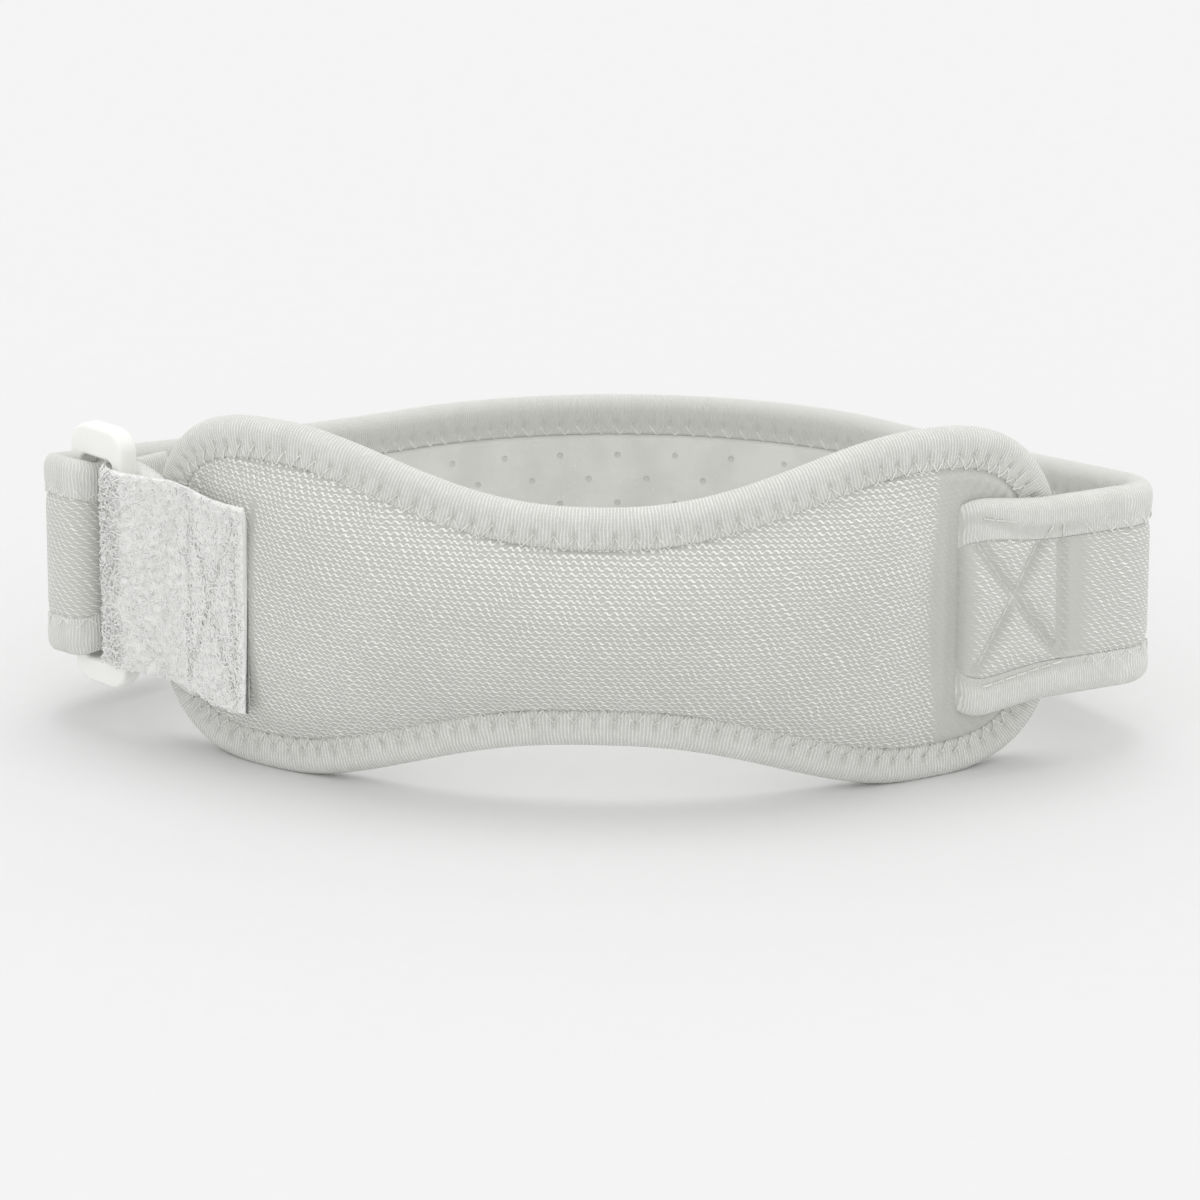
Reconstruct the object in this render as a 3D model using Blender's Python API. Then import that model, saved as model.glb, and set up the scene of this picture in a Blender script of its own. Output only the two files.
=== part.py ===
"""Patella strap: a padded dog-bone pad with an adjustable strap closed into a loop.

Every cloth piece is laid out flat first, by distance along the loop, height and
thickness, and then carried on to the loop's plan path. The whole loop leans back a
little, so that it stands on the pad's two lower lobes and the strap's rear edge.
Metres, +Z up, the pad faces -Y.
"""
import math

import bmesh
import bpy
import numpy as np
from mathutils import Vector

# general clearances
GAP = 0.0003

# the pad, measured flat: half length, height and dog-bone outline
PAD_HALF_LENGTH = 0.0765
PAD_LOBE_AT = 0.0510
PAD_MIDDLE_HEIGHT = 0.0284
PAD_LOBE_HALF = 0.0284
PAD_WAIST_HALF = 0.0190
PAD_WAIST_POWER = 1.2
PAD_END_ROUNDNESS = 2.8
PAD_MARGIN_HALF = 0.0014
PAD_BULGE_FRONT = 0.0062
PAD_BULGE_BACK = 0.0018
PADDING_RIGHT_END = 0.0550
PADDING_LEFT_END = 0.0640
PADDING_RIGHT_BOW = 0.0030
PADDING_RAMP = 0.0110
PAD_STATIONS = 80
PAD_LINE_REACH = 0.92
PAD_LOOP_SHARES = (0.0, 0.10, 0.24, 0.45, 0.72)

# the knit tape that binds the pad and both edges of the strap
BINDING_WIDTH = 0.0064
PAD_BINDING_HALF = 0.0025
BINDING_SINK = 0.0012
SEAM_EASE = 0.0002
BINDING_LIP_SHARE = 0.92
BINDING_FULL_FROM = 0.24
BINDING_FULL_TO = 0.86
BINDING_BROW = (0.07, 0.68)

# the pad's plan path, read from its middle to each end
PAD_RIGHT_RADIUS = 0.0980
PAD_LEFT_RADIUS = 0.1040
PAD_RIGHT_TURN = math.radians(30.0)
PAD_LEFT_TURN = math.radians(42.0)

# the strap
STRAP_WIDTH = 0.0326
STRAP_SEWN_WIDTH = 0.0356
STRAP_MIDDLE_HEIGHT = 0.0283
STRAP_HALF = 0.0017
STRAP_EDGE_HALF = 0.0012
STRAP_EDGE_RAMP = 0.0020
STRAP_LAYER_SPLIT = 0.0003
STRAP_BINDING_HALF = 0.0023
STRAP_FOLD_SHARE = 0.62
STRAP_SEWN_SHARE = 0.85
SEWN_LENGTH = 0.0160
SEWN_FLAT_LENGTH = 0.0120
SEWN_EASE = 0.0080
FOLD_EASE = 0.0060
STRAP_START = 0.0565
STRAP_FRONT_RUN = 0.0276
RIGHT_TIP_RADIUS = 0.0070
LEFT_TIP_RADIUS = 0.0066
RIGHT_BACK_HEADING = math.radians(130.0)
LEFT_BACK_HEADING = math.radians(224.0)
BACK_RADIUS = 0.0540
FRONT_TO_BAR = 0.0010
TAIL_LEAD = 0.0017
TAIL_CORNER_RADIUS = 0.0018
TAIL_RUN = 0.0140
REAR_DROOP = 0.0084
REAR_DROOP_POWER = 1.15
RING_RISE = 0.0014
RING_RISE_RUN = 0.0108
TAIL_DROOP = 0.0044
TAIL_DROOP_RUN = 0.0120

# the rectangular ring
RING_AT = 0.0766
RING_WIDTH = 0.0120
RING_HEIGHT = 0.0424
RING_THICKNESS = 0.0036
RING_SIDE_BAR = 0.0023
RING_TOP_BAR = 0.0050
RING_LOW_BAR = 0.0041
RING_CORNER = 0.0036
RING_SLOT_CORNER = 0.0013
RING_MIDDLE_HEIGHT = 0.0302
RING_EDGE = 0.0009
RING_EDGE_CUT = 0.0003

# the fuzzy closure tape
TAPE_HALF = 0.0006
TAPE_WIDTH = 0.0324
TAPE_FREE_WIDTH = 0.0337
TAPE_SEWN_HEIGHT = 0.0263
TAPE_RING_HEIGHT = 0.0297
TAPE_FREE_HEIGHT = 0.02725
TAPE_FREE_END = 0.0536
TAPE_SEWN_END = 0.0655
TAPE_SEWN_LEAD = 0.0040
TAPE_SETTLE_FROM = 0.0012
TAPE_SETTLE_TO = 0.0105
TAPE_REST_SHARE = 0.80

# the stance
LEAN = math.radians(2.5)
FLATTENED = 0.0006

# how far apart the strap's cross-sections are on each run of its path, in order
RUN_STEPS = (0.0060, 0.0030, 0.0085, 0.0085, 0.0085, 0.0030, 0.0030, 0.0020, 0.0030, 0.0016, 0.0070)


def smooth(share):
    """Ease from 0 to 1 with level ends."""
    share = min(max(share, 0.0), 1.0)
    return share * share * (3.0 - 2.0 * share)


class Track:
    """A plan path of straight and bent runs, read by the distance along it."""

    def __init__(self, start, heading, runs):
        self.runs = []
        x, y = start
        begin = 0.0
        for length, turn in runs:
            self.runs.append((begin, length, turn, x, y, heading))
            x, y, heading = self.step(x, y, heading, length, turn, length)
            begin += length
        self.length = begin

    @staticmethod
    def step(x, y, heading, length, turn, along):
        """Move along one run from its start."""
        if abs(turn) < 1e-9:
            return x + along * math.cos(heading), y + along * math.sin(heading), heading
        radius = length / turn
        after = heading + along / radius
        x += radius * (math.sin(after) - math.sin(heading))
        y += radius * (math.cos(heading) - math.cos(after))
        return x, y, after

    def at(self, distance):
        """Give the plan position and heading at a distance."""
        for begin, length, turn, x, y, heading in reversed(self.runs):
            if distance >= begin - 1e-12:
                break
        return self.step(x, y, heading, length, turn, distance - begin)

    def place(self, distance, offset):
        """Give the plan position a little outward of the path."""
        x, y, heading = self.at(distance)
        return x + offset * math.sin(heading), y - offset * math.cos(heading)


def bend(radius, turn):
    """One bent run: its length and its turn."""
    return radius * abs(turn), turn


STRAIGHT = 0.06
PAD_RIGHT = Track((0.0, 0.0), 0.0, [bend(PAD_RIGHT_RADIUS, PAD_RIGHT_TURN), (STRAIGHT, 0.0)])
PAD_LEFT = Track((0.0, 0.0), 0.0, [bend(PAD_LEFT_RADIUS, PAD_LEFT_TURN), (STRAIGHT, 0.0)])


def pad_place(along, offset):
    """Plan position on the pad's two-sided path; along is negative on the left."""
    if along >= 0.0:
        return PAD_RIGHT.place(along, offset)
    x, y = PAD_LEFT.place(-along, offset)
    return -x, y


# the ring stands off the pad's path by the tape's lower layer and the turn round the bar
BAR_TURN = RING_THICKNESS / 2 + GAP
TAPE_LOWER = PAD_BINDING_HALF + GAP + TAPE_HALF
RING_OFFSET = TAPE_LOWER + TAPE_HALF + BAR_TURN
BAR_REACH = RING_WIDTH / 2 - RING_SIDE_BAR / 2
RIGHT_BAR = -RING_AT - RING_WIDTH / 2 + BAR_REACH
LEFT_BAR = -RING_AT - RING_WIDTH / 2 - BAR_REACH
FOLD_RADIUS = BAR_TURN + STRAP_BINDING_HALF * STRAP_FOLD_SHARE
STRAP_OFFSET = PAD_BINDING_HALF + GAP + STRAP_BINDING_HALF * STRAP_SEWN_SHARE
FOLD_HEADING = 2 * math.pi - PAD_LEFT_TURN


def strap_track():
    """Lay the strap out, and size its two long rear runs so that it reaches the ring."""
    back_turn = LEFT_BACK_HEADING - RIGHT_BACK_HEADING

    def build(right_run, left_run):
        """Lay out the strap's runs for two trial lengths."""
        return Track(pad_place(STRAP_START, STRAP_OFFSET), PAD_RIGHT_TURN, [
            (STRAP_FRONT_RUN, 0.0),
            bend(RIGHT_TIP_RADIUS, RIGHT_BACK_HEADING - PAD_RIGHT_TURN),
            (right_run, 0.0),
            bend(BACK_RADIUS, back_turn),
            (left_run, 0.0),
            bend(LEFT_TIP_RADIUS, FOLD_HEADING - LEFT_BACK_HEADING),
            (FRONT_TO_BAR, 0.0),
            bend(FOLD_RADIUS, math.pi),
            (TAIL_LEAD, 0.0),
            bend(TAIL_CORNER_RADIUS, LEFT_BACK_HEADING - FOLD_HEADING),
            (TAIL_RUN, 0.0),
        ])

    trial = build(0.0, 0.0)
    reached = trial.at(trial.runs[7][0])
    wanted = pad_place(LEFT_BAR, RING_OFFSET + FOLD_RADIUS)
    ways = np.array([[math.cos(RIGHT_BACK_HEADING), math.cos(LEFT_BACK_HEADING)],
                     [math.sin(RIGHT_BACK_HEADING), math.sin(LEFT_BACK_HEADING)]])
    runs = np.linalg.solve(ways, np.array([wanted[0] - reached[0], wanted[1] - reached[1]]))
    return build(float(runs[0]), float(runs[1]))


STRAP = strap_track()
DROOP_FROM = STRAP.runs[1][0]
DROOP_TO = STRAP.runs[6][0]
LEFT_TIP = STRAP.runs[5][0]
TAIL_FROM = STRAP.runs[9][0]


def droop(distance):
    """How far the strap hangs below its level line; it rises to pass the ring, then falls."""
    share = (distance - DROOP_FROM) / (DROOP_TO - DROOP_FROM)
    share = min(max(share, 0.0), 1.0)
    at_ring = RING_RISE * smooth((distance - LEFT_TIP) / RING_RISE_RUN)
    at_tail = TAIL_DROOP * smooth((distance - TAIL_FROM) / TAIL_DROOP_RUN)
    return REAR_DROOP * math.sin(math.pi * share) ** REAR_DROOP_POWER - at_ring + at_tail


def strap_width(distance):
    """Strap width, a little spread where it is sewn down flat."""
    return STRAP_WIDTH + (STRAP_SEWN_WIDTH - STRAP_WIDTH) * smooth(1.0 - distance / SEWN_LENGTH)


def strap_squeeze(distance):
    """Share of the full thickness left at this distance."""
    sewn = (1.0 - STRAP_SEWN_SHARE) * smooth(1.0 - (distance - SEWN_FLAT_LENGTH) / SEWN_EASE)
    fold = (1.0 - STRAP_FOLD_SHARE) * smooth((distance - LEFT_TIP) / FOLD_EASE)
    return 1.0 - sewn - fold


def spaced(begin, end, step):
    """Even stations from begin to end, no further apart than step."""
    count = max(1, math.ceil((end - begin) / step - 1e-6))
    return [begin + (end - begin) * i / count for i in range(count)]


def strap_stations():
    """Distances along the strap, close together in its tight bends."""
    stations = []
    for (begin, length, *_), step in zip(STRAP.runs, RUN_STEPS):
        stations += spaced(begin, begin + length, step)
    return stations + [STRAP.length]


def pad_half_height(along):
    """Half height of the dog-bone outline at a distance from its middle."""
    share = min(abs(along) / PAD_LOBE_AT, 1.0) ** PAD_WAIST_POWER
    return PAD_WAIST_HALF + (PAD_LOBE_HALF - PAD_WAIST_HALF) * (1.0 - math.cos(math.pi * share)) / 2


def pad_outline(count, inset):
    """Closed outline of the pad, evenly spaced from its right end and moved in by an inset."""
    fine = 160
    cap = []
    for i in range(fine):
        angle = math.pi / 2 * i / fine
        reach = math.cos(angle) ** (2.0 / PAD_END_ROUNDNESS)
        rise = math.sin(angle) ** (2.0 / PAD_END_ROUNDNESS)
        cap.append((PAD_LOBE_AT + (PAD_HALF_LENGTH - PAD_LOBE_AT) * reach, PAD_LOBE_HALF * rise))
    edge = list(cap)
    for i in range(fine + 1):
        along = PAD_LOBE_AT * (1.0 - 2.0 * i / fine)
        edge.append((along, pad_half_height(along)))
    edge += [(-along, height) for along, height in reversed(cap)]
    edge = np.array(edge + [(along, -height) for along, height in reversed(edge[1:-1])])
    ahead = np.roll(edge, -1, axis=0) - np.roll(edge, 1, axis=0)
    ahead /= np.linalg.norm(ahead, axis=1)[:, None]
    inward = np.stack([-ahead[:, 1], ahead[:, 0]], axis=1)
    gone = np.concatenate([[0.0], np.cumsum(np.linalg.norm(np.roll(edge, -1, axis=0) - edge, axis=1))])
    wanted = np.linspace(0.0, gone[-1], count, endpoint=False)
    moved = edge + inward * inset
    loop = np.vstack([moved, moved[:1]])
    side = np.vstack([inward, inward[:1]])
    points = [np.interp(wanted, gone, loop[:, i]) for i in (0, 1)]
    normals = [np.interp(wanted, gone, side[:, i]) for i in (0, 1)]
    return list(zip(*points, *normals))


def padding(along, height):
    """Share of the full padding at a spot on the pad."""
    past = max(abs(along) - PAD_LOBE_AT, 0.0) / (PAD_HALF_LENGTH - PAD_LOBE_AT - BINDING_WIDTH)
    if past >= 1.0:
        return 0.0
    rounded = (1.0 - past ** PAD_END_ROUNDNESS) ** (1.0 / PAD_END_ROUNDNESS)
    half = (pad_half_height(along) - BINDING_WIDTH - SEAM_EASE) * rounded
    across = abs(height) / half
    if across >= 1.0:
        return 0.0
    bowed = PADDING_RIGHT_END - PADDING_RIGHT_BOW * (1.0 - (height / half) ** 2)
    to_end = (bowed - along) if along > 0.0 else (PADDING_LEFT_END + along)
    ramp = PADDING_RAMP if along > 0.0 else 2.0 * PADDING_RAMP
    end_share = min(max(to_end / ramp, 0.0), 1.0)
    return math.sin(end_share * math.pi / 2) * (1.0 - across ** 2.4) ** 0.6


def lean(x, y, z):
    """Turn a point with the whole loop, which leans back on its lobes."""
    return (x, y * math.cos(LEAN) + z * math.sin(LEAN), z * math.cos(LEAN) - y * math.sin(LEAN))


def on_pad(along, height, offset):
    """Carry a spot of the flat pad on to its place in the loop."""
    x, y = pad_place(along, offset)
    return lean(x, y, PAD_MIDDLE_HEIGHT + height)


def on_strap(distance, height, offset):
    """Carry a spot of the flat strap on to its place in the loop."""
    x, y = STRAP.place(distance, offset)
    return lean(x, y, STRAP_MIDDLE_HEIGHT + height - droop(distance))


def material(name, colour, roughness):
    """A plain Principled material."""
    mat = bpy.data.materials.new(name)
    mat.use_nodes = True
    shader = mat.node_tree.nodes["Principled BSDF"]
    shader.inputs["Base Color"].default_value = (*colour, 1.0)
    shader.inputs["Roughness"].default_value = roughness
    shader.inputs["Metallic"].default_value = 0.0
    mat.diffuse_color = (*colour, 1.0)
    return mat


def finish(name, bm, mat, sharp_degrees):
    """Turn a bmesh into a named, smooth-shaded object."""
    bmesh.ops.recalc_face_normals(bm, faces=bm.faces)
    mesh = bpy.data.meshes.new(name)
    bm.to_mesh(mesh)
    bm.free()
    mesh.shade_smooth()
    mesh.set_sharp_from_angle(angle=math.radians(sharp_degrees))
    mesh.materials.append(mat)
    obj = bpy.data.objects.new(name, mesh)
    bpy.context.scene.collection.objects.link(obj)
    return obj


def extrude_ring(bm, ring, points):
    """Extrude a ring of vertices and set the new ring on the given points."""
    pairs = [bm.edges.get((ring[i - 1], ring[i])) for i in range(len(ring))]
    made = bmesh.ops.extrude_edge_only(bm, edges=pairs)["geom"]
    fresh = {item for item in made if isinstance(item, bmesh.types.BMVert)}
    after = []
    for vert, point in zip(ring, points):
        twin = next(e.other_vert(vert) for e in vert.link_edges if e.other_vert(vert) in fresh)
        twin.co = Vector(point)
        after.append(twin)
    return after


def fill_across(bm, ring):
    """Close a loop that is the same above and below its middle with upright strips."""
    half = len(ring) // 2
    for i in range(half):
        strip = [ring[i], ring[i + 1], ring[-i - 1], ring[-i]]
        bm.faces.new([v for j, v in enumerate(strip) if v not in strip[:j]])


def swept(name, sections, mat, closed, across=False, sharp_degrees=40.0):
    """Join cross-sections, one after the other, into a closed solid."""
    bm = bmesh.new()
    ring = bmesh.ops.create_circle(bm, segments=len(sections[0]), radius=0.01)["verts"]
    for vert, point in zip(ring, sections[0]):
        vert.co = Vector(point)
    first = list(ring)
    for points in sections[1:]:
        ring = extrude_ring(bm, ring, points)
    if closed:
        for i in range(len(ring)):
            bm.faces.new((ring[i - 1], ring[i], first[i], first[i - 1]))
    elif across:
        fill_across(bm, first)
        fill_across(bm, ring)
    else:
        bm.faces.new(first)
        bm.faces.new(ring)
    return finish(name, bm, mat, sharp_degrees)


def u_section(half, body_half):
    """Cross-section of a folded binding: depth below its edge and offset from its middle."""
    inner = body_half + GAP
    arm = BINDING_WIDTH
    brow = (-arm * BINDING_BROW[0], half * BINDING_BROW[1])
    outer = [(-arm, inner), (-arm, half * BINDING_LIP_SHARE), (-arm * BINDING_FULL_TO, half),
             (-arm * BINDING_FULL_FROM, half), brow]
    below = [(depth, -offset) for depth, offset in reversed(outer)]
    closing = [(GAP - BINDING_SINK, -inner), (GAP - BINDING_SINK, inner)]
    return outer + [(0.0, 0.0)] + below + closing


def build_pad_body(mat):
    """The padded, knit-covered dog-bone body inside the pad's binding."""
    edge = pad_outline(PAD_STATIONS, BINDING_SINK)
    seam = pad_outline(PAD_STATIONS, BINDING_WIDTH + SEAM_EASE)
    reach = PAD_LOBE_AT * PAD_LINE_REACH

    def ring(spots, side, padded):
        """Points of one loop on the front or the back face."""
        depth = PAD_BULGE_FRONT if side > 0 else PAD_BULGE_BACK
        return [on_pad(a, h, side * (PAD_MARGIN_HALF + (depth * padding(a, h) if padded else 0.0)))
                for a, h in spots]

    loops = [([(a, h) for a, h, *_ in edge], False)]
    for share in PAD_LOOP_SHARES:
        spots = [(a + (min(max(a, -reach), reach) - a) * share, h * (1.0 - share))
                 for a, h, *_ in seam]
        loops.append((spots, share > 0.0))
    sections = [ring(spots, -1, padded) for spots, padded in reversed(loops)]
    sections += [ring(spots, 1, padded) for spots, padded in loops]
    return swept("pad_body", sections, mat, closed=False, across=True, sharp_degrees=60.0)


def build_pad_binding(mat):
    """The knit tape folded round the pad's outline."""
    section = u_section(PAD_BINDING_HALF, PAD_MARGIN_HALF)
    sections = []
    for along, height, inward_a, inward_h in pad_outline(PAD_STATIONS, 0.0):
        sections.append([on_pad(along - inward_a * depth, height - inward_h * depth, offset)
                         for depth, offset in section])
    return swept("pad_binding", sections, mat, closed=True)


def strap_body_section(distance, near, far, near_edge, far_edge):
    """Cross-section of one layer of the strap between two offsets."""
    half = strap_width(distance) / 2 - BINDING_SINK
    seam = strap_width(distance) / 2 - BINDING_WIDTH
    press = strap_squeeze(distance)
    full = seam - STRAP_EDGE_RAMP
    flat = [(-half, far_edge), (-seam, far_edge), (-full, far), (full, far),
            (seam, far_edge), (half, far_edge), (half, near_edge), (seam, near_edge),
            (full, near), (-full, near), (-seam, near_edge), (-half, near_edge)]
    return [on_strap(distance, height, offset * press) for height, offset in flat]


def build_strap_layers(face_mat, lining_mat):
    """The strap's knit outer face and its thicker inner lining."""
    split = STRAP_LAYER_SPLIT
    stations = strap_stations()
    face = [strap_body_section(s, split, STRAP_HALF, split, STRAP_EDGE_HALF) for s in stations]
    below = split - GAP / STRAP_FOLD_SHARE
    lining = [strap_body_section(s, -STRAP_HALF, below, -STRAP_EDGE_HALF, below) for s in stations]
    swept("strap_face", face, face_mat, closed=False)
    swept("strap_lining", lining, lining_mat, closed=False)


def build_strap_bindings(mat):
    """The knit tape folded round each long edge of the strap."""
    for name, side in (("strap_binding_top", 1.0), ("strap_binding_bottom", -1.0)):
        sections = []
        for distance in strap_stations():
            press = strap_squeeze(distance)
            edge = strap_width(distance) / 2
            body = STRAP_EDGE_HALF * press
            section = u_section(STRAP_BINDING_HALF * press, body)
            sections.append([on_strap(distance, side * (edge + depth), offset)
                             for depth, offset in section])
        swept(name, sections, mat, closed=False)


def rounded_frame(width, height, corner, per_corner):
    """Points round a rectangle with round corners, the same count for any size."""
    points = []
    for quarter in range(4):
        side_x = 1.0 if quarter in (0, 3) else -1.0
        side_z = 1.0 if quarter in (0, 1) else -1.0
        for i in range(per_corner + 1):
            angle = math.pi / 2 * (quarter + i / per_corner)
            points.append((side_x * (width / 2 - corner) + corner * math.cos(angle),
                           side_z * (height / 2 - corner) + corner * math.sin(angle)))
    return points


def build_ring(mat):
    """The rigid rectangular ring that the strap's fold and the tape's turn hang on."""
    per_corner = 5
    outer = rounded_frame(RING_WIDTH, RING_HEIGHT, RING_CORNER, per_corner)
    slot_width = RING_WIDTH - 2 * RING_SIDE_BAR
    slot_height = RING_HEIGHT - RING_TOP_BAR - RING_LOW_BAR
    slot_low = Vector((0.0, (RING_LOW_BAR - RING_TOP_BAR) / 2))
    inner = rounded_frame(slot_width, slot_height, RING_SLOT_CORNER, per_corner)
    half = RING_THICKNESS / 2
    cut = RING_EDGE_CUT
    sections = []
    for out_point, in_point in zip(outer, inner):
        out_vec = Vector(out_point)
        in_vec = Vector(in_point) + slot_low
        way = (out_vec - in_vec).normalized()
        flat = []
        for base, sign in ((out_vec, -1.0), (in_vec, 1.0)):
            corner_cut = (base + way * sign * RING_EDGE, base + way * sign * cut, base)
            depths = (half, half - cut, half - RING_EDGE)
            turned = list(zip(corner_cut, depths)) + [(p, -d) for p, d in
                                                      reversed(list(zip(corner_cut, depths)))]
            flat.append(turned)
        loop = flat[0] + list(reversed(flat[1]))
        sections.append([lean(*pad_place(-RING_AT - RING_WIDTH / 2 - point.x, RING_OFFSET + depth),
                              RING_MIDDLE_HEIGHT + point.y) for point, depth in loop])
    return swept("ring_buckle", sections, mat, closed=True, sharp_degrees=50.0)


def tape_plan():
    """Plan line of the closure tape, sewn end to free end, and where its turn begins and ends."""
    turn = BAR_TURN + TAPE_HALF
    upper = RING_OFFSET + turn
    over_sewn = TAPE_LOWER + 2 * TAPE_HALF + GAP
    points = [(-TAPE_SEWN_END, TAPE_LOWER), (-TAPE_SEWN_END - TAPE_SEWN_LEAD, TAPE_LOWER),
              (RIGHT_BAR + TAPE_SEWN_LEAD, TAPE_LOWER)]
    turn_from = len(points)
    for i in range(9):
        angle = math.pi * (i / 8.0)
        points.append((RIGHT_BAR - turn * math.sin(angle), RING_OFFSET - turn * math.cos(angle)))
    turn_to = len(points)
    ease = (RIGHT_BAR + TAPE_SETTLE_FROM, RIGHT_BAR + TAPE_SETTLE_TO)
    for i in range(1, 7):
        share = i / 6.0
        points.append((ease[0] + (ease[1] - ease[0]) * share, upper + (over_sewn - upper) * smooth(share)))
    last = PAD_MARGIN_HALF + PAD_BULGE_FRONT * TAPE_REST_SHARE + TAPE_HALF + 2 * GAP
    begin = ease[1]
    for i in range(1, 6):
        share = i / 5.0
        along = begin + (-TAPE_FREE_END - begin) * share
        points.append((along, over_sewn + (last - over_sewn) * smooth(share)))
    return points, turn_from, turn_to


def build_tape(mat):
    """The fuzzy tape: sewn to the pad's left end, round the ring, back on to the pad."""
    plan, turn_from, turn_to = tape_plan()
    spots = [Vector(pad_place(along, offset)) for along, offset in plan]
    gone = [0.0]
    for before, after in zip(spots, spots[1:]):
        gone.append(gone[-1] + (after - before).length)
    sections = []
    for i, spot in enumerate(spots):
        ahead = (spots[min(i + 1, len(spots) - 1)] - spots[max(i - 1, 0)]).normalized()
        side = Vector((ahead.y, -ahead.x))
        rise = smooth(gone[i] / gone[turn_from])
        settle = smooth((gone[i] - gone[turn_to]) / (gone[-1] - gone[turn_to]))
        middle = TAPE_SEWN_HEIGHT + (TAPE_RING_HEIGHT - TAPE_SEWN_HEIGHT) * rise
        middle += (TAPE_FREE_HEIGHT - TAPE_RING_HEIGHT) * settle
        half = (TAPE_WIDTH + (TAPE_FREE_WIDTH - TAPE_WIDTH) * settle) / 2
        low = middle - half
        high = middle + half
        corners = ((low, -TAPE_HALF), (low, TAPE_HALF), (high, TAPE_HALF), (high, -TAPE_HALF))
        sections.append([lean(*(spot + side * offset), height) for height, offset in corners])
    return swept("closure_tape", sections, mat, closed=False, sharp_degrees=50.0)


def stand_on_floor(objects):
    """Set the loop on the floor, press the cloth flat where it rests, and centre the plan."""
    lobes = bpy.data.objects["pad_binding"].data.vertices
    floor = min(v.co.z for v in lobes) + FLATTENED
    for obj in objects:
        for vert in obj.data.vertices:
            vert.co.z = max(vert.co.z - floor, 0.0)
    corners = [v.co for obj in objects for v in obj.data.vertices]
    middle = [(min(c[i] for c in corners) + max(c[i] for c in corners)) / 2 for i in (0, 1)]
    for obj in objects:
        for vert in obj.data.vertices:
            vert.co.x -= middle[0]
            vert.co.y -= middle[1]


def main():
    """Build every piece of the strap."""
    for obj in list(bpy.data.objects):
        bpy.data.objects.remove(obj, do_unlink=True)
    knit = material("grey knit", (0.600, 0.600, 0.570), 0.90)
    ribbed = material("grey ribbed binding", (0.620, 0.620, 0.590), 0.88)
    foam = material("grey perforated lining", (0.560, 0.560, 0.530), 0.80)
    plastic = material("white plastic", (0.860, 0.860, 0.830), 0.25)
    fuzzy = material("pale fuzzy tape", (0.680, 0.680, 0.650), 0.95)
    build_pad_body(knit)
    build_pad_binding(ribbed)
    build_strap_layers(knit.copy(), foam)
    build_strap_bindings(ribbed.copy())
    build_ring(plastic)
    build_tape(fuzzy)
    stand_on_floor(list(bpy.data.objects))


main()
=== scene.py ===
"""Looks of a padded knee strap: knit pad, bound edges, strap, ring and fuzzy closure tape.

Each cloth piece is laid out flat as a grid, measured along and across the cloth, and
carried on to the loop. The pattern of its weave is read from the same flat measures.
"""

import logging
import math
from dataclasses import dataclass, field
from enum import Enum
from typing import Callable, Optional

import bmesh
import bpy
import numpy as np
from bpy.types import Material, Node, NodeSocket, NodeTree, Object
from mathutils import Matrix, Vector

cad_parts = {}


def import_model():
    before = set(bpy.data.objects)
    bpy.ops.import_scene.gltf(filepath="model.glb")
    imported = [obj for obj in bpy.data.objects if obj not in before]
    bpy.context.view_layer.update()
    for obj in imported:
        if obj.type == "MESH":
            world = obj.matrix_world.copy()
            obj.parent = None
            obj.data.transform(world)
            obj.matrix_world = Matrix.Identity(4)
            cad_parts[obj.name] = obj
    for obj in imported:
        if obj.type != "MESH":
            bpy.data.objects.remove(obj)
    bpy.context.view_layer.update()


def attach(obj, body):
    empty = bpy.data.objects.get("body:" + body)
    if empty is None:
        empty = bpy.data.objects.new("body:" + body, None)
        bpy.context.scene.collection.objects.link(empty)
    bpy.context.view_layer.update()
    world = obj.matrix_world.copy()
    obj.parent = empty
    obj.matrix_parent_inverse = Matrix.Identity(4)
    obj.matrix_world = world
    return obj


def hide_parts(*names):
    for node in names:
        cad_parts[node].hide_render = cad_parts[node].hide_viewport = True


log = logging.getLogger("strap")
Array = np.ndarray
Carry = Callable[[Array, Array], tuple[Array, Array]]
Colour = tuple[float, float, float]


class Side(Enum):
    """The two long edges of the strap."""

    TOP = 1.0
    BOTTOM = -1.0


def eased(share: Array) -> Array:
    """Ease from 0 to 1 with level ends."""
    share = np.clip(share, 0.0, 1.0)
    return share * share * (3.0 - 2.0 * share)


def hump(distance: Array, width: float) -> Array:
    """A round hump of height 1 that fades out over a width."""
    return np.exp(-(np.asarray(distance) / width) ** 2)


def row_at(table: Array, share: Array) -> Array:
    """Give the columns of a table's rows that lie nearest to shares of its length."""
    return table[np.rint(share * (len(table) - 1)).astype(int)].T


def distances(points: Array) -> Array:
    """How far along a line each of its points lies."""
    steps = np.linalg.norm(np.diff(points, axis=0), axis=1)
    return np.concatenate([[0.0], np.cumsum(steps)])


def read_line(points: Array, gone: Array, spots: Array) -> Array:
    """Read a flat line of points, or of directions, at distances along it."""
    return np.stack([np.interp(spots, gone, points[:, k]) for k in (0, 1)], axis=-1)


def leg(share: Array, index: int) -> Array:
    """How far down a zigzag's leg each spot lies: every other leg runs the other way."""
    return share if index % 2 == 0 else 1.0 - share


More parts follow.
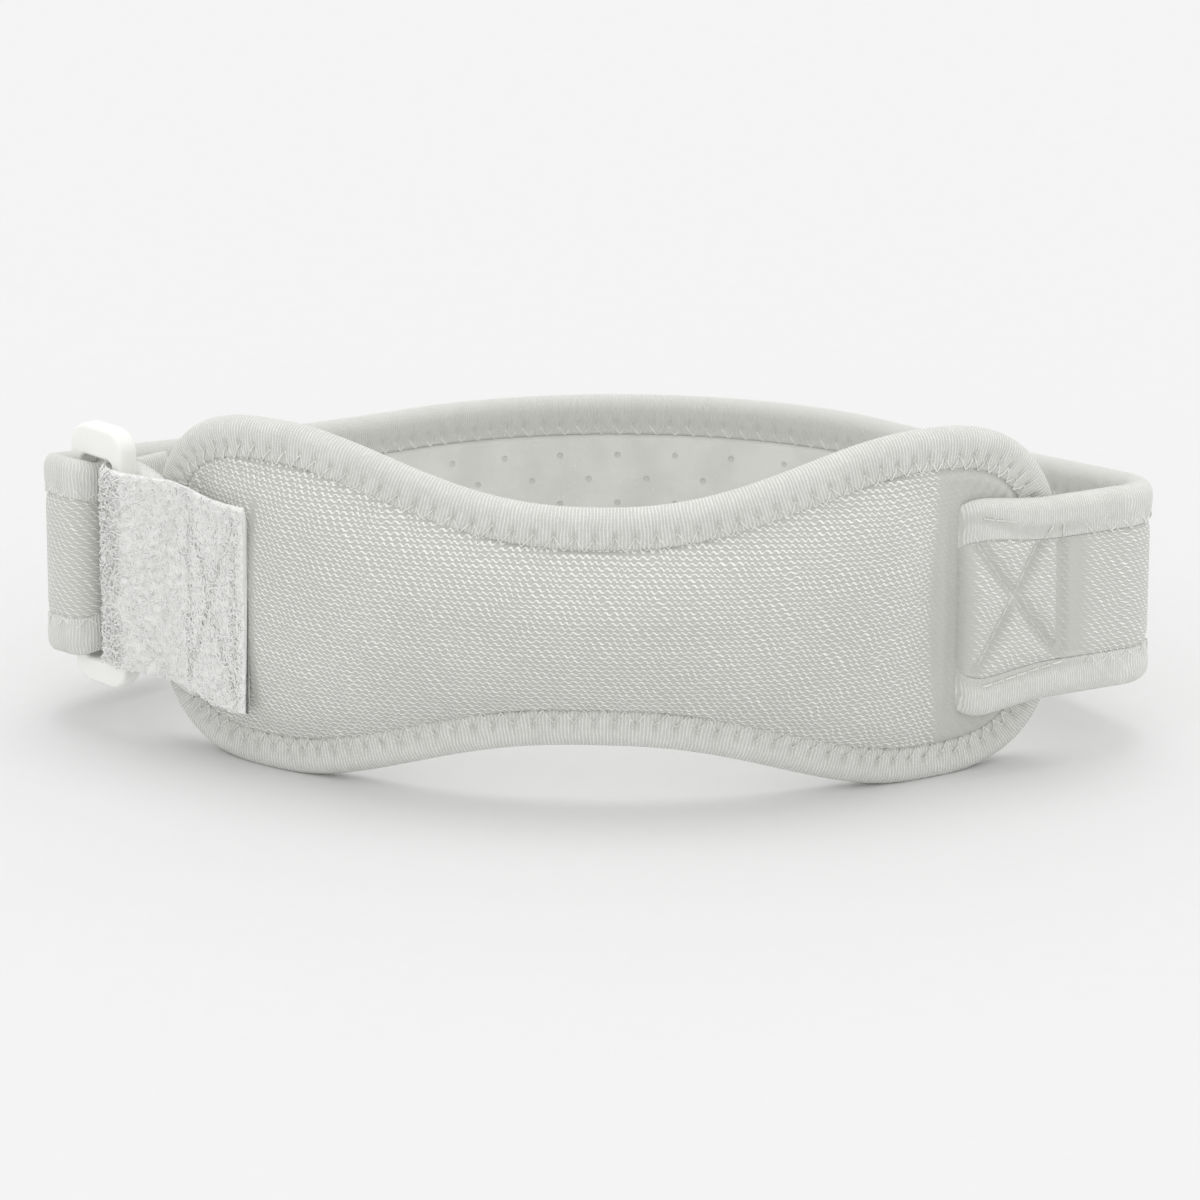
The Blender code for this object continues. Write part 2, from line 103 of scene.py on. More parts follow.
@dataclass(frozen=True)
class PlanPath:
    """A plan path of straight and bent runs, read by the distance along it."""

    start: tuple[float, float]
    heading: float
    runs: tuple[tuple[float, float], ...]

    def stops(self) -> Array:
        """Give each run's begin, length, turn, x, y and heading, and one row for the end."""
        x, y = self.start
        heading = self.heading
        begin = 0.0
        rows = []
        for length, turn in self.runs:
            rows.append((begin, length, turn, x, y, heading))
            if abs(turn) < 1e-9:
                x += length * math.cos(heading)
                y += length * math.sin(heading)
            else:
                radius = length / turn
                x += radius * (math.sin(heading + turn) - math.sin(heading))
                y += radius * (math.cos(heading) - math.cos(heading + turn))
            heading += turn
            begin += length
        return np.array(rows + [(begin, 1.0, 0.0, x, y, heading)])

    @property
    def length(self) -> float:
        """The whole length of the path."""
        return sum(length for length, _ in self.runs)

    def place(self, along: Array, offset: Array) -> Array:
        """Give plan positions beside the path.

        Args:
            along: Distances along the path.
            offset: Distances outward of it.

        Returns:
            One row of x and y for each distance.
        """
        rows = self.stops()
        after = np.searchsorted(rows[:, 0], along + 1e-9, side="right")
        index = np.clip(after - 1, 0, len(rows) - 2)
        begin, length, turn, x, y, heading = rows[index].T
        gone = along - begin
        bent = np.abs(turn) > 1e-9
        rate = np.where(bent, turn / length, 0.0)
        turned = heading + gone * rate
        safe = np.where(bent, rate, 1.0)
        dx = np.where(bent, (np.sin(turned) - np.sin(heading)) / safe, gone * np.cos(heading))
        dy = np.where(bent, (np.cos(heading) - np.cos(turned)) / safe, gone * np.sin(heading))
        return np.stack([x + dx + offset * np.sin(turned),
                         y + dy - offset * np.cos(turned)], axis=-1)


def bend(radius: float, turn: float) -> tuple[float, float]:
    """One bent run: its length and its turn."""
    return radius * abs(turn), turn


@dataclass
class Loop:
    """The whole loop's sizes in metres, and how flat cloth is carried on to it."""

    # the pad, as in the CAD
    gap: float = 0.0003
    pad_half_length: float = 0.0765
    lobe_at: float = 0.0510
    pad_middle: float = 0.0284
    lobe_half: float = 0.0284
    waist_half: float = 0.0190
    waist_power: float = 1.2
    end_roundness: float = 2.8
    margin_half: float = 0.0014
    bulge_front: float = 0.0062
    bulge_back: float = 0.0018
    binding_width: float = 0.0064
    pad_binding_half: float = 0.0025
    binding_sink: float = 0.0012
    pad_right_radius: float = 0.0980
    pad_left_radius: float = 0.1040
    pad_right_turn: float = math.radians(30.0)
    pad_left_turn: float = math.radians(42.0)
    # the strap
    strap_width: float = 0.0326
    strap_sewn_width: float = 0.0356
    strap_middle: float = 0.0283
    strap_half: float = 0.0017
    strap_edge_half: float = 0.0012
    strap_binding_half: float = 0.0023
    fold_share: float = 0.62
    sewn_share: float = 0.85
    sewn_run: float = 0.0160
    sewn_flat: float = 0.0120
    sewn_ease: float = 0.0080
    fold_ease: float = 0.0060
    strap_start: float = 0.0565
    front_run: float = 0.0276
    right_tip_radius: float = 0.0070
    left_tip_radius: float = 0.0066
    right_back: float = math.radians(130.0)
    left_back: float = math.radians(224.0)
    back_radius: float = 0.0540
    tail_corner: float = 0.0018
    tail_run: float = 0.0140
    tip_to_bar: float = 0.0010
    tail_lead: float = 0.0017
    # how the strap hangs
    rear_droop: float = 0.0084
    rear_droop_power: float = 1.15
    ring_rise: float = 0.0014
    ring_rise_run: float = 0.0108
    tail_droop: float = 0.0044
    tail_droop_run: float = 0.0120
    # the ring and the tape
    ring_at: float = 0.0766
    ring_width: float = 0.0120
    ring_thickness: float = 0.0036
    ring_side_bar: float = 0.0023
    tape_half: float = 0.0006
    # how the loop stands
    lean: float = math.radians(2.5)
    shift: tuple[float, float, float] = (0.00158358, -0.04904371, -0.00000874)
    straight: float = 0.06
    pad_right: PlanPath = field(init=False)
    pad_left: PlanPath = field(init=False)
    strap: PlanPath = field(init=False)

    def __post_init__(self) -> None:
        """Lay out the pad's two halves and the strap."""
        right = (bend(self.pad_right_radius, self.pad_right_turn), (self.straight, 0.0))
        left = (bend(self.pad_left_radius, self.pad_left_turn), (self.straight, 0.0))
        self.pad_right = PlanPath((0.0, 0.0), 0.0, right)
        self.pad_left = PlanPath((0.0, 0.0), 0.0, left)
        bar_turn = self.ring_thickness / 2 + self.gap
        self.tape_lower = self.pad_binding_half + self.gap + self.tape_half
        self.ring_offset = self.tape_lower + self.tape_half + bar_turn
        self.bar_turn = bar_turn
        self.bar_reach = self.ring_width / 2 - self.ring_side_bar / 2
        self.ring_middle = -self.ring_at - self.ring_width / 2
        self.strap = self.strap_path()
        stops = self.strap.stops()[:, 0]
        self.droop_from, self.droop_to = float(stops[1]), float(stops[6])
        self.left_tip, self.tail_from = float(stops[5]), float(stops[9])
        self.fold_middle = float(stops[7] + stops[8]) / 2

    def strap_path(self) -> PlanPath:
        """Lay the strap out, its two rear runs sized so that its fold reaches the ring."""
        fold_radius = self.bar_turn + self.strap_binding_half * self.fold_share
        fold_heading = 2 * math.pi - self.pad_left_turn
        offset = self.pad_binding_half + self.gap + self.strap_binding_half * self.sewn_share
        start = tuple(self.on_plan(np.array([self.strap_start]), np.array([offset]))[0])

        def build(right_run: float, left_run: float) -> PlanPath:
            """Lay out the strap's runs for two lengths."""
            return PlanPath(start, self.pad_right_turn, (
                (self.front_run, 0.0),
                bend(self.right_tip_radius, self.right_back - self.pad_right_turn),
                (right_run, 0.0),
                bend(self.back_radius, self.left_back - self.right_back),
                (left_run, 0.0),
                bend(self.left_tip_radius, fold_heading - self.left_back),
                (self.tip_to_bar, 0.0),
                bend(fold_radius, math.pi),
                (self.tail_lead, 0.0),
                bend(self.tail_corner, self.left_back - fold_heading),
                (self.tail_run, 0.0),
            ))

        reached = build(0.0, 0.0).stops()[7, 3:5]
        bar = self.ring_middle - self.bar_reach
        wanted = self.on_plan(np.array([bar]), np.array([self.ring_offset + fold_radius]))[0]
        ways = np.array([[math.cos(self.right_back), math.cos(self.left_back)],
                         [math.sin(self.right_back), math.sin(self.left_back)]])
        runs = np.linalg.solve(ways, wanted - reached)
        return build(float(runs[0]), float(runs[1]))

    def on_plan(self, along: Array, offset: Array) -> Array:
        """Give plan positions on the pad's path, where along is negative on the left."""
        right = self.pad_right.place(np.maximum(along, 0.0), offset)
        left = self.pad_left.place(np.maximum(-along, 0.0), offset) * np.array([-1.0, 1.0])
        return np.where((along >= 0.0)[:, None], right, left)

    def stand(self, plan: Array, height: Array) -> Array:
        """Lean the loop back and stand it on the floor.

        Args:
            plan: Rows of x and y.
            height: Heights above the level of the pad's low edge.

        Returns:
            Rows of x, y and z in the shared frame, none below the floor.
        """
        x, y = plan.T
        turned = np.stack([x, y * math.cos(self.lean) + height * math.sin(self.lean),
                           height * math.cos(self.lean) - y * math.sin(self.lean)], axis=-1)
        placed = turned + np.array(self.shift)
        placed[:, 2] = np.maximum(placed[:, 2], 0.0)
        return placed

    def on_pad(self, along: Array, height: Array, offset: Array) -> Array:
        """Carry spots of the flat pad on to the loop."""
        return self.stand(self.on_plan(along, offset), self.pad_middle + height)

    def on_strap(self, along: Array, height: Array, offset: Array) -> Array:
        """Carry spots of the flat strap on to the loop."""
        level = self.strap_middle + height - self.droop(along)
        return self.stand(self.strap.place(along, offset), level)

    def droop(self, along: Array) -> Array:
        """How far the strap hangs below its level line; it rises to pass the ring, then falls."""
        share = np.clip((along - self.droop_from) / (self.droop_to - self.droop_from), 0.0, 1.0)
        at_ring = self.ring_rise * eased((along - self.left_tip) / self.ring_rise_run)
        at_tail = self.tail_droop * eased((along - self.tail_from) / self.tail_droop_run)
        return self.rear_droop * np.sin(np.pi * share) ** self.rear_droop_power - at_ring + at_tail

    def width_at(self, along: Array) -> Array:
        """Strap width, a little spread where it is sewn down flat."""
        more = self.strap_sewn_width - self.strap_width
        return self.strap_width + more * eased(1.0 - along / self.sewn_run)

    def squeeze(self, along: Array) -> Array:
        """Share of the strap's full thickness left at a distance."""
        sewn = (1.0 - self.sewn_share) * eased(1.0 - (along - self.sewn_flat) / self.sewn_ease)
        fold = (1.0 - self.fold_share) * eased((along - self.left_tip) / self.fold_ease)
        return 1.0 - sewn - fold

    def half_height(self, along: Array) -> Array:
        """Half height of the pad's outline."""
        share = np.minimum(np.abs(along) / self.lobe_at, 1.0) ** self.waist_power
        more = self.lobe_half - self.waist_half
        return self.waist_half + more * (1.0 - np.cos(np.pi * share)) / 2

    def outline(self, count: int, fine: int = 200) -> Array:
        """Walk round the pad's outline.

        Args:
            count: How many even steps the walk has.
            fine: How closely each quarter is worked out first.

        Returns:
            A row for each step and one more to close it: along, height, the two parts
            of the inward direction, and the distance gone.
        """
        angle = np.pi / 2 * np.arange(fine) / fine
        power = 2.0 / self.end_roundness
        past = self.pad_half_length - self.lobe_at
        cap = np.stack([self.lobe_at + past * np.cos(angle) ** power,
                        self.lobe_half * np.sin(angle) ** power], axis=-1)
        along = self.lobe_at * (1.0 - 2.0 * np.arange(fine + 1) / fine)
        middle = np.stack([along, self.half_height(along)], axis=-1)
        upper = np.vstack([cap, middle, cap[::-1] * np.array([-1.0, 1.0])])
        edge = np.vstack([upper, upper[1:-1][::-1] * np.array([1.0, -1.0])])
        ahead = np.roll(edge, -1, axis=0) - np.roll(edge, 1, axis=0)
        ahead /= np.linalg.norm(ahead, axis=1)[:, None]
        inward = np.stack([-ahead[:, 1], ahead[:, 0]], axis=1)
        steps = np.linalg.norm(np.roll(edge, -1, axis=0) - edge, axis=1)
        gone = np.concatenate([[0.0], np.cumsum(steps)])
        table = np.vstack([np.hstack([edge, inward]), np.hstack([edge, inward])[:1]])
        wanted = np.linspace(0.0, gone[-1], count + 1)
        columns = [np.interp(wanted, gone, table[:, i]) for i in range(4)]
        return np.stack(columns + [wanted], axis=-1)


@dataclass(frozen=True)
class Bench:
    """Where meshes are made: laid-out grids and lengths of thread."""

    weld: float = 1e-6

    def grid(self, name: str, columns: int, rows: int, carry: Carry) -> Object:
        """Make a piece from a flat grid that is carried to its place.

        Args:
            name: The piece's name.
            columns: How many steps the grid has along the cloth.
            rows: How many it has across.
            carry: Turns shares along and across into places and flat measures: how far
            along the cloth, how far across it, and its mark of painted light and shade
            there: painted shade where the knit's ridges are taken out and in dimples,
            painted light on a strap binding's inner side.

        Returns:
            The piece, welded where its edges meet, with its flat measures as its UV map
            and its painted light and shade mark as the attribute named pressed.
        """
        bm = bmesh.new()
        bmesh.ops.create_grid(bm, x_segments=columns, y_segments=rows, size=1.0)
        mesh = bpy.data.meshes.new(name)
        bm.to_mesh(mesh)
        bm.free()
        flat = np.empty(len(mesh.vertices) * 3)
        mesh.vertices.foreach_get("co", flat)
        flat = flat.reshape(-1, 3)
        places, measures = carry((flat[:, 0] + 1.0) / 2, (flat[:, 1] + 1.0) / 2)
        mesh.vertices.foreach_set("co", places.ravel())
        corners = np.empty(len(mesh.loops), dtype=np.int64)
        mesh.loops.foreach_get("vertex_index", corners)
        mesh.uv_layers.new(name="cloth").data.foreach_set("uv", measures[corners, :2].ravel())
        # the attribute named pressed carries painted light and shade for the finishes
        pressed = mesh.attributes.new("pressed", "FLOAT", "POINT")
        pressed.data.foreach_set("value", np.ascontiguousarray(measures[:, 2]))
        bm = bmesh.new()
        bm.from_mesh(mesh)
        bmesh.ops.remove_doubles(bm, verts=bm.verts, dist=self.weld)
        open_edges = [edge for edge in bm.edges if edge.is_boundary]
        bmesh.ops.holes_fill(bm, edges=open_edges, sides=0)
        bmesh.ops.recalc_face_normals(bm, faces=bm.faces)
        bm.to_mesh(mesh)
        bm.free()
        mesh.shade_smooth()
        piece = bpy.data.objects.new(name, mesh)
        bpy.context.scene.collection.objects.link(piece)
        return piece

    def threads(self, name: str, lines: list[Array], radius: float, sides: int = 1) -> Object:
        """Make lengths of thread or fibre as one mesh.

        Args:
            name: The piece's name.
            lines: The points that each length follows.
            radius: Half the thread's thickness.
            sides: How finely its round is cut.

        Returns:
            The piece.
        """
        curve = bpy.data.curves.new(name, "CURVE")
        curve.dimensions = "3D"
        curve.bevel_depth = radius
        curve.bevel_resolution = sides
        curve.use_fill_caps = True
        for line in lines:
            spline = curve.splines.new("POLY")
            spline.points.add(len(line) - 1)
            spline.points.foreach_set("co", np.hstack([line, np.ones((len(line), 1))]).ravel())
        maker = bpy.data.objects.new(name + "_line", curve)
        bpy.context.scene.collection.objects.link(maker)
        bpy.context.view_layer.update()
        mesh = bpy.data.meshes.new_from_object(maker)
        bpy.data.objects.remove(maker)
        mesh.name = name
        mesh.shade_smooth()
        piece = bpy.data.objects.new(name, mesh)
        bpy.context.scene.collection.objects.link(piece)
        return piece


@dataclass(frozen=True)
class BindingShape:
    """Cross-section of the ribbed tape folded round an edge."""

    width: float
    half: float
    inner: float
    sink: float
    roll: float = 0.0024
    lip: float = 0.0005

    def profile(self, front: int = 22, back: int = 14) -> Array:
        """Walk round the section.

        Args:
            front: How many steps its outer skin has in front.
            back: How many it has behind.

        Returns:
            Rows of depth below the edge, offset from the middle, and cloth measure.
        """
        points = []
        for count, side in ((front, 1.0), (back, -1.0)):
            round_part = max(6, count // 3)
            angle = np.pi / 2 * np.arange(round_part) / round_part
            skin = [(self.roll * (1 - math.cos(a)), self.half * math.sin(a)) for a in angle]
            flat_to = self.width - self.lip
            flat = np.linspace(self.roll, flat_to, count - round_part - 4)
            skin += [(d, self.half) for d in flat]
            for i in range(1, 5):
                turn = np.pi / 2 * i / 4
                skin.append((flat_to + self.lip * math.sin(turn),
                             self.inner + (self.half - self.inner) * math.cos(turn)))
            points.append([(depth, side * offset) for depth, offset in skin])
        closing = [(self.sink, -self.inner), (self.sink, self.inner), points[0][-1]]
        walk = np.array(points[0][::-1] + points[1][1:] + closing)
        measure = distances(walk)
        return np.column_stack([walk, measure - measure[len(points[0]) - 1]])


@dataclass(frozen=True)
class Seam:
    """How a binding is stitched down: dimples at its stitches and a fall to its inner edge."""

    at: float
    dimple: float
    dimple_width: float
    edge: float
    edge_from: float
    edge_run: float
    arches: tuple[float, float]
    end_gap: float = 0.0001

    def dimples(self, depth: Array, ripple: Array) -> Array:
        """How far the skin sinks at the stitches."""
        return self.dimple * ripple ** 3 * self.line(depth)

    def line(self, depth: Array) -> Array:
        """1 on the row of stitches, fading to 0 beside it."""
        return hump(depth - self.at, self.dimple_width)

    def fall(self, depth: Array) -> Array:
        """How far the skin falls towards the inner edge."""
        return self.edge * eased((depth - self.edge_from) / self.edge_run)

    def arch(self, index: int, share: Array) -> Array:
        """How far one leg of the zigzag thread stands off the skin."""
        return self.arches[index % 2] * np.sin(np.pi * share)


class Graph:
    """A small hand for wiring shader nodes."""

    def __init__(self, tree: NodeTree) -> None:
        """Keep the tree that the nodes go in."""
        self.tree = tree

    def add(self, kind: str, **settings: object) -> Node:
        """Add a node and set its plain properties."""
        node = self.tree.nodes.new(kind)
        for name, value in settings.items():
            setattr(node, name, value)
        return node

    def feed(self, socket: NodeSocket, value: object) -> None:
        """Link a socket to another, or set it to a constant."""
        if isinstance(value, NodeSocket):
            self.tree.links.new(value, socket)
        else:
            socket.default_value = value

    def cloth(self) -> NodeSocket:
        """The flat measures of the cloth."""
        return self.add("ShaderNodeUVMap", uv_map="cloth").outputs[0]

    def place(self) -> NodeSocket:
        """The spot on the piece, in its own space."""
        return self.add("ShaderNodeTexCoord").outputs["Object"]

    def centred(self, value: object) -> NodeSocket:
        """Shift a noise so that it lies round 0."""
        return self.math("SUBTRACT", value, 0.5)

    def wave(self, turns: object) -> NodeSocket:
        """Cosine of a number of whole turns."""
        return self.math("COSINE", self.math("MULTIPLY", turns, 2 * math.pi))

    def math(self, operation: str, *values: object) -> NodeSocket:
        """A Math node of one to three inputs."""
        node = self.add("ShaderNodeMath", operation=operation)
        for socket, value in zip(node.inputs, values):
            self.feed(socket, value)
        return node.outputs[0]

    def ramp(self, value: object, low: float, high: float, to_low: object = 0.0,
             to_high: object = 1.0) -> NodeSocket:
        """Ease a value from one range to another."""
        node = self.add("ShaderNodeMapRange", interpolation_type="SMOOTHSTEP")
        for socket, item in zip(node.inputs, (value, low, high, to_low, to_high)):
            self.feed(socket, item)
        return node.outputs[0]

    def mix(self, share: object, first: object, second: object) -> NodeSocket:
        """Mix two colours."""
        node = self.add("ShaderNodeMix", data_type="RGBA")
        self.feed(node.inputs[0], share)
        self.feed(node.inputs[6], (*first, 1.0) if isinstance(first, tuple) else first)
        self.feed(node.inputs[7], (*second, 1.0) if isinstance(second, tuple) else second)
        return node.outputs[2]

    def noise(self, vector: object, scale: object, detail: float = 2.0) -> NodeSocket:
        """Soft noise read at a place."""
        node = self.add("ShaderNodeTexNoise")
        self.feed(node.inputs["Vector"], vector)
        self.feed(node.inputs["Scale"], scale)
        node.inputs["Detail"].default_value = detail
        return node.outputs[0]

    def parts(self, vector: object) -> tuple[NodeSocket, NodeSocket]:
        """Split a place into its first two parts."""
        node = self.add("ShaderNodeSeparateXYZ")
        self.feed(node.inputs[0], vector)
        return node.outputs[0], node.outputs[1]


@dataclass(frozen=True)
class GroupSpec:
    """Name and sockets of a shared shader group."""

    name: str
    inputs: tuple[tuple[str, str, float], ...]
    outputs: tuple[str, ...]

    def start(self) -> tuple[NodeTree, Graph, dict, Node]:
        """Make the empty group and give its tree, hand, inputs by name and output node."""
        tree = bpy.data.node_groups.new(self.name, "ShaderNodeTree")
        for name, kind, value in self.inputs:
            socket = tree.interface.new_socket(name=name, in_out="INPUT", socket_type=kind)
            if kind == "NodeSocketFloat":
                socket.default_value = value
        for name in self.outputs:
            tree.interface.new_socket(name=name, in_out="OUTPUT", socket_type="NodeSocketFloat")
        graph = Graph(tree)
        source = graph.add("NodeGroupInput")
        target = graph.add("NodeGroupOutput")
        return tree, graph, {s.name: s for s in source.outputs}, target


@dataclass
class Effects:
    """The shader groups that the cloth finishes share."""

    knit_wander: float = 260.0
    knit_drift: float = 1.3
    knit_sway: float = 4.0
    knit_uneven: float = 2.0
    knit_ridge: tuple[float, float] = (-0.15, 0.50)
    rib_wander: float = 320.0
    rib_knot_stretch: float = 1.1
    rib_knots: float = 0.15
    rib_uneven: float = 1.7
    rib_ridge: tuple[float, float] = (-0.5, 0.9)
    uneven_scale: float = 1100.0
    hole_rim: tuple[float, float] = (0.5, 1.3)

    def __post_init__(self) -> None:
        """Build every group once."""
        self.knit = self.build_knit()
        self.rib = self.build_rib()
        self.fuzz = self.build_fuzz()
        self.holes = self.build_holes()

    def build_knit(self) -> NodeTree:
        """Wavy rows of knit loops that lean towards each other in turn."""
        spec = GroupSpec("knit_rows", (
            ("Cloth", "NodeSocketVector", 0.0), ("Row Pitch", "NodeSocketFloat", 0.00115),
            ("Wave Length", "NodeSocketFloat", 0.0017), ("Wave Height", "NodeSocketFloat", 0.2),
            ("Beading", "NodeSocketFloat", 0.3), ("Looseness", "NodeSocketFloat", 0.14),
        ), ("Ridge",))
        tree, graph, given, out = spec.start()
        x, y = graph.parts(given["Cloth"])
        wander = graph.centred(graph.noise(given["Cloth"], self.knit_wander, 0.0))
        drift = graph.math("MULTIPLY", wander, self.knit_drift)
        column = graph.math("ADD", graph.math("DIVIDE", x, given["Wave Length"]), drift)
        row = graph.math("DIVIDE", y, given["Row Pitch"])
        wave = graph.math("SINE", graph.math("MULTIPLY", column, 2 * math.pi))
        turn = graph.math("COSINE", graph.math("MULTIPLY", row, math.pi))
        lift = graph.math("MULTIPLY", graph.math("MULTIPLY", wave, turn), given["Wave Height"])
        sway = graph.math("MULTIPLY", given["Looseness"], self.knit_sway)
        loose = graph.math("MULTIPLY", wander, sway)
        level = graph.wave(graph.math("ADD", graph.math("ADD", row, lift), loose))
        uneven = graph.centred(graph.noise(given["Cloth"], self.uneven_scale))
        rough = graph.math("MULTIPLY_ADD", uneven, self.knit_uneven, level)
        ridge = graph.ramp(rough, *self.knit_ridge)
        bead = graph.wave(graph.math("MULTIPLY_ADD", row, 0.5, column))
        share = graph.math("MULTIPLY", given["Beading"], 0.5)
        bead = graph.math("MULTIPLY_ADD", bead, share, graph.math("SUBTRACT", 1.0, share))
        graph.feed(out.inputs["Ridge"], graph.math("MULTIPLY", ridge, bead))
        return tree

    def build_rib(self) -> NodeTree:
        """Fine ribs that run across a binding tape."""
        spec = GroupSpec("binding_ribs", (
            ("Cloth", "NodeSocketVector", 0.0), ("Pitch", "NodeSocketFloat", 0.0005),
            ("Waviness", "NodeSocketFloat", 0.5),
        ), ("Rib",))
        tree, graph, given, out = spec.start()
        x, y = graph.parts(given["Cloth"])
        wander = graph.centred(graph.noise(given["Cloth"], self.rib_wander))
        column = graph.math("DIVIDE", x, given["Pitch"])
        level = graph.wave(graph.math("MULTIPLY_ADD", wander, given["Waviness"], column))
        knot_pitch = graph.math("MULTIPLY", given["Pitch"], self.rib_knot_stretch)
        knots = graph.wave(graph.math("ADD", graph.math("DIVIDE", y, knot_pitch), wander))
        uneven = graph.centred(graph.noise(given["Cloth"], self.uneven_scale))
        rough = graph.math("MULTIPLY_ADD", uneven, self.rib_uneven, level)
        rib = graph.ramp(rough, *self.rib_ridge)
        broken = graph.math("MULTIPLY_ADD", knots, self.rib_knots, 1.0 - self.rib_knots)
        graph.feed(out.inputs["Rib"], graph.math("MULTIPLY", rib, broken))
        return tree

    @staticmethod
    def build_fuzz() -> NodeTree:
        """Fine lint and broad unevenness of a worn cloth."""
        spec = GroupSpec("cloth_fuzz", (
            ("Place", "NodeSocketVector", 0.0), ("Lint Scale", "NodeSocketFloat", 3200.0),
            ("Patch Scale", "NodeSocketFloat", 70.0),
        ), ("Lint", "Patch"))
        tree, graph, given, out = spec.start()
        graph.feed(out.inputs["Lint"], graph.noise(given["Place"], given["Lint Scale"], 3.0))
        graph.feed(out.inputs["Patch"], graph.noise(given["Place"], given["Patch Scale"], 3.0))
        return tree

    def build_holes(self) -> NodeTree:
        """Staggered air holes."""
        spec = GroupSpec("air_holes", (
            ("Cloth", "NodeSocketVector", 0.0), ("Pitch", "NodeSocketFloat", 0.0100),
            ("Row", "NodeSocketFloat", 0.0042), ("Radius", "NodeSocketFloat", 0.0005),
        ), ("Hole",))
        tree, graph, given, out = spec.start()
        x, y = graph.parts(given["Cloth"])
        row = graph.math("DIVIDE", y, given["Row"])
        odd = graph.math("FLOORED_MODULO", graph.math("FLOOR", row), 2.0)
        stagger = graph.math("MULTIPLY", odd, 0.5)
        column = graph.math("ADD", graph.math("DIVIDE", x, given["Pitch"]), stagger)
        dx = graph.math("MULTIPLY", graph.centred(graph.math("FRACT", column)), given["Pitch"])
        dy = graph.math("MULTIPLY", graph.centred(graph.math("FRACT", row)), given["Row"])
        square = graph.math("MULTIPLY_ADD", dx, dx, graph.math("MULTIPLY", dy, dy))
        share = graph.math("DIVIDE", graph.math("SQRT", square), given["Radius"])
        graph.feed(out.inputs["Hole"], graph.ramp(share, *self.hole_rim, 1.0, 0.0))
        return tree


def pale(level: float, warmth: float = 0.03) -> Colour:
    """A near-white tone of undyed cloth, a little short of blue."""
    return level, level, level - warmth


@dataclass(frozen=True)
class Finish:
    """What every finish has: a name, two tones and how rough it is."""

    name: str
    low: Colour
    high: Colour
    roughness: float = 0.9
    sheen: float = 0.25
    sheen_roughness: float = 0.6
    matt: float = 0.2

    def start(self) -> tuple[Material, Graph, Node]:
        """Make the material and give it with its graph and shader."""
        made = bpy.data.materials.new(self.name)
        made.use_nodes = True
        graph = Graph(made.node_tree)
        shader = made.node_tree.nodes["Principled BSDF"]
        shader.inputs["Roughness"].default_value = self.roughness
        shader.inputs["Sheen Weight"].default_value = self.sheen
        shader.inputs["Sheen Roughness"].default_value = self.sheen_roughness
        shader.inputs["Specular IOR Level"].default_value = self.matt
        return made, graph, shader

    @staticmethod
    def group(graph: Graph, tree: NodeTree, **values: object) -> Node:
        """Place a shared group and set its inputs, with _ for a space."""
        node = graph.add("ShaderNodeGroup", node_tree=tree)
        for name, value in values.items():
            graph.feed(node.inputs[name.replace("_", " ")], value)
        return node

    @staticmethod
    def painted_light_shade_factor(graph: Graph, share: float) -> NodeSocket:
        """Give 1 where nothing is painted, less by a share where the pressed attribute marks
        painted light and shade.
        """
        pressed = graph.add("ShaderNodeAttribute", attribute_name="pressed").outputs["Fac"]
        return graph.math("MULTIPLY_ADD", pressed, -share, 1.0)

    @staticmethod
    def relief(graph: Graph, shader: Node, height: object, depth: float) -> None:
        """Feed a height to the shader's normal."""
        bump = graph.add("ShaderNodeBump")
        bump.inputs["Distance"].default_value = depth
        graph.feed(bump.inputs["Height"], height)
        graph.feed(shader.inputs["Normal"], bump.outputs[0])


@dataclass(frozen=True)
class KnitFinish(Finish):
    """Jersey knit in wavy rows, whose bright ridges are taken out as painted shade where the
    pressed attribute marks it.
    """

    row_pitch: float = 0.00076
    wave_length: float = 0.00108
    wave_height: float = 0.30
    beading: float = 0.70
    lint: float = 0.45
    patch: float = 0.35
    # painted shade: how far the bright ridges fade where pressed is set
    painted_shade_share: float = 0.85
    span: tuple[float, float] = (-0.05, 0.95)
    depth: float = 0.00012

    def make(self, effects: Effects) -> Material:
        """Build the material from the shared groups."""
        made, graph, shader = self.start()
        knit = self.group(graph, effects.knit, Cloth=graph.cloth(), Row_Pitch=self.row_pitch,
                          Wave_Length=self.wave_length, Wave_Height=self.wave_height,
                          Beading=self.beading)
        fuzz = self.group(graph, effects.fuzz, Place=graph.place())
        lint = graph.centred(fuzz.outputs["Lint"])
        ridge = graph.math("MULTIPLY_ADD", lint, self.lint, knit.outputs["Ridge"])
        # painted shade: the ridges fade in valleys, grooves and dips marked by pressed
        ridge = graph.math("MULTIPLY", ridge, self.painted_light_shade_factor(graph, self.painted_shade_share))
        tone = graph.math("MULTIPLY_ADD", graph.centred(fuzz.outputs["Patch"]), self.patch, ridge)
        tone = graph.mix(graph.ramp(tone, *self.span), self.low, self.high)
        graph.feed(shader.inputs["Base Color"], tone)
        self.relief(graph, shader, ridge, self.depth)
        return made


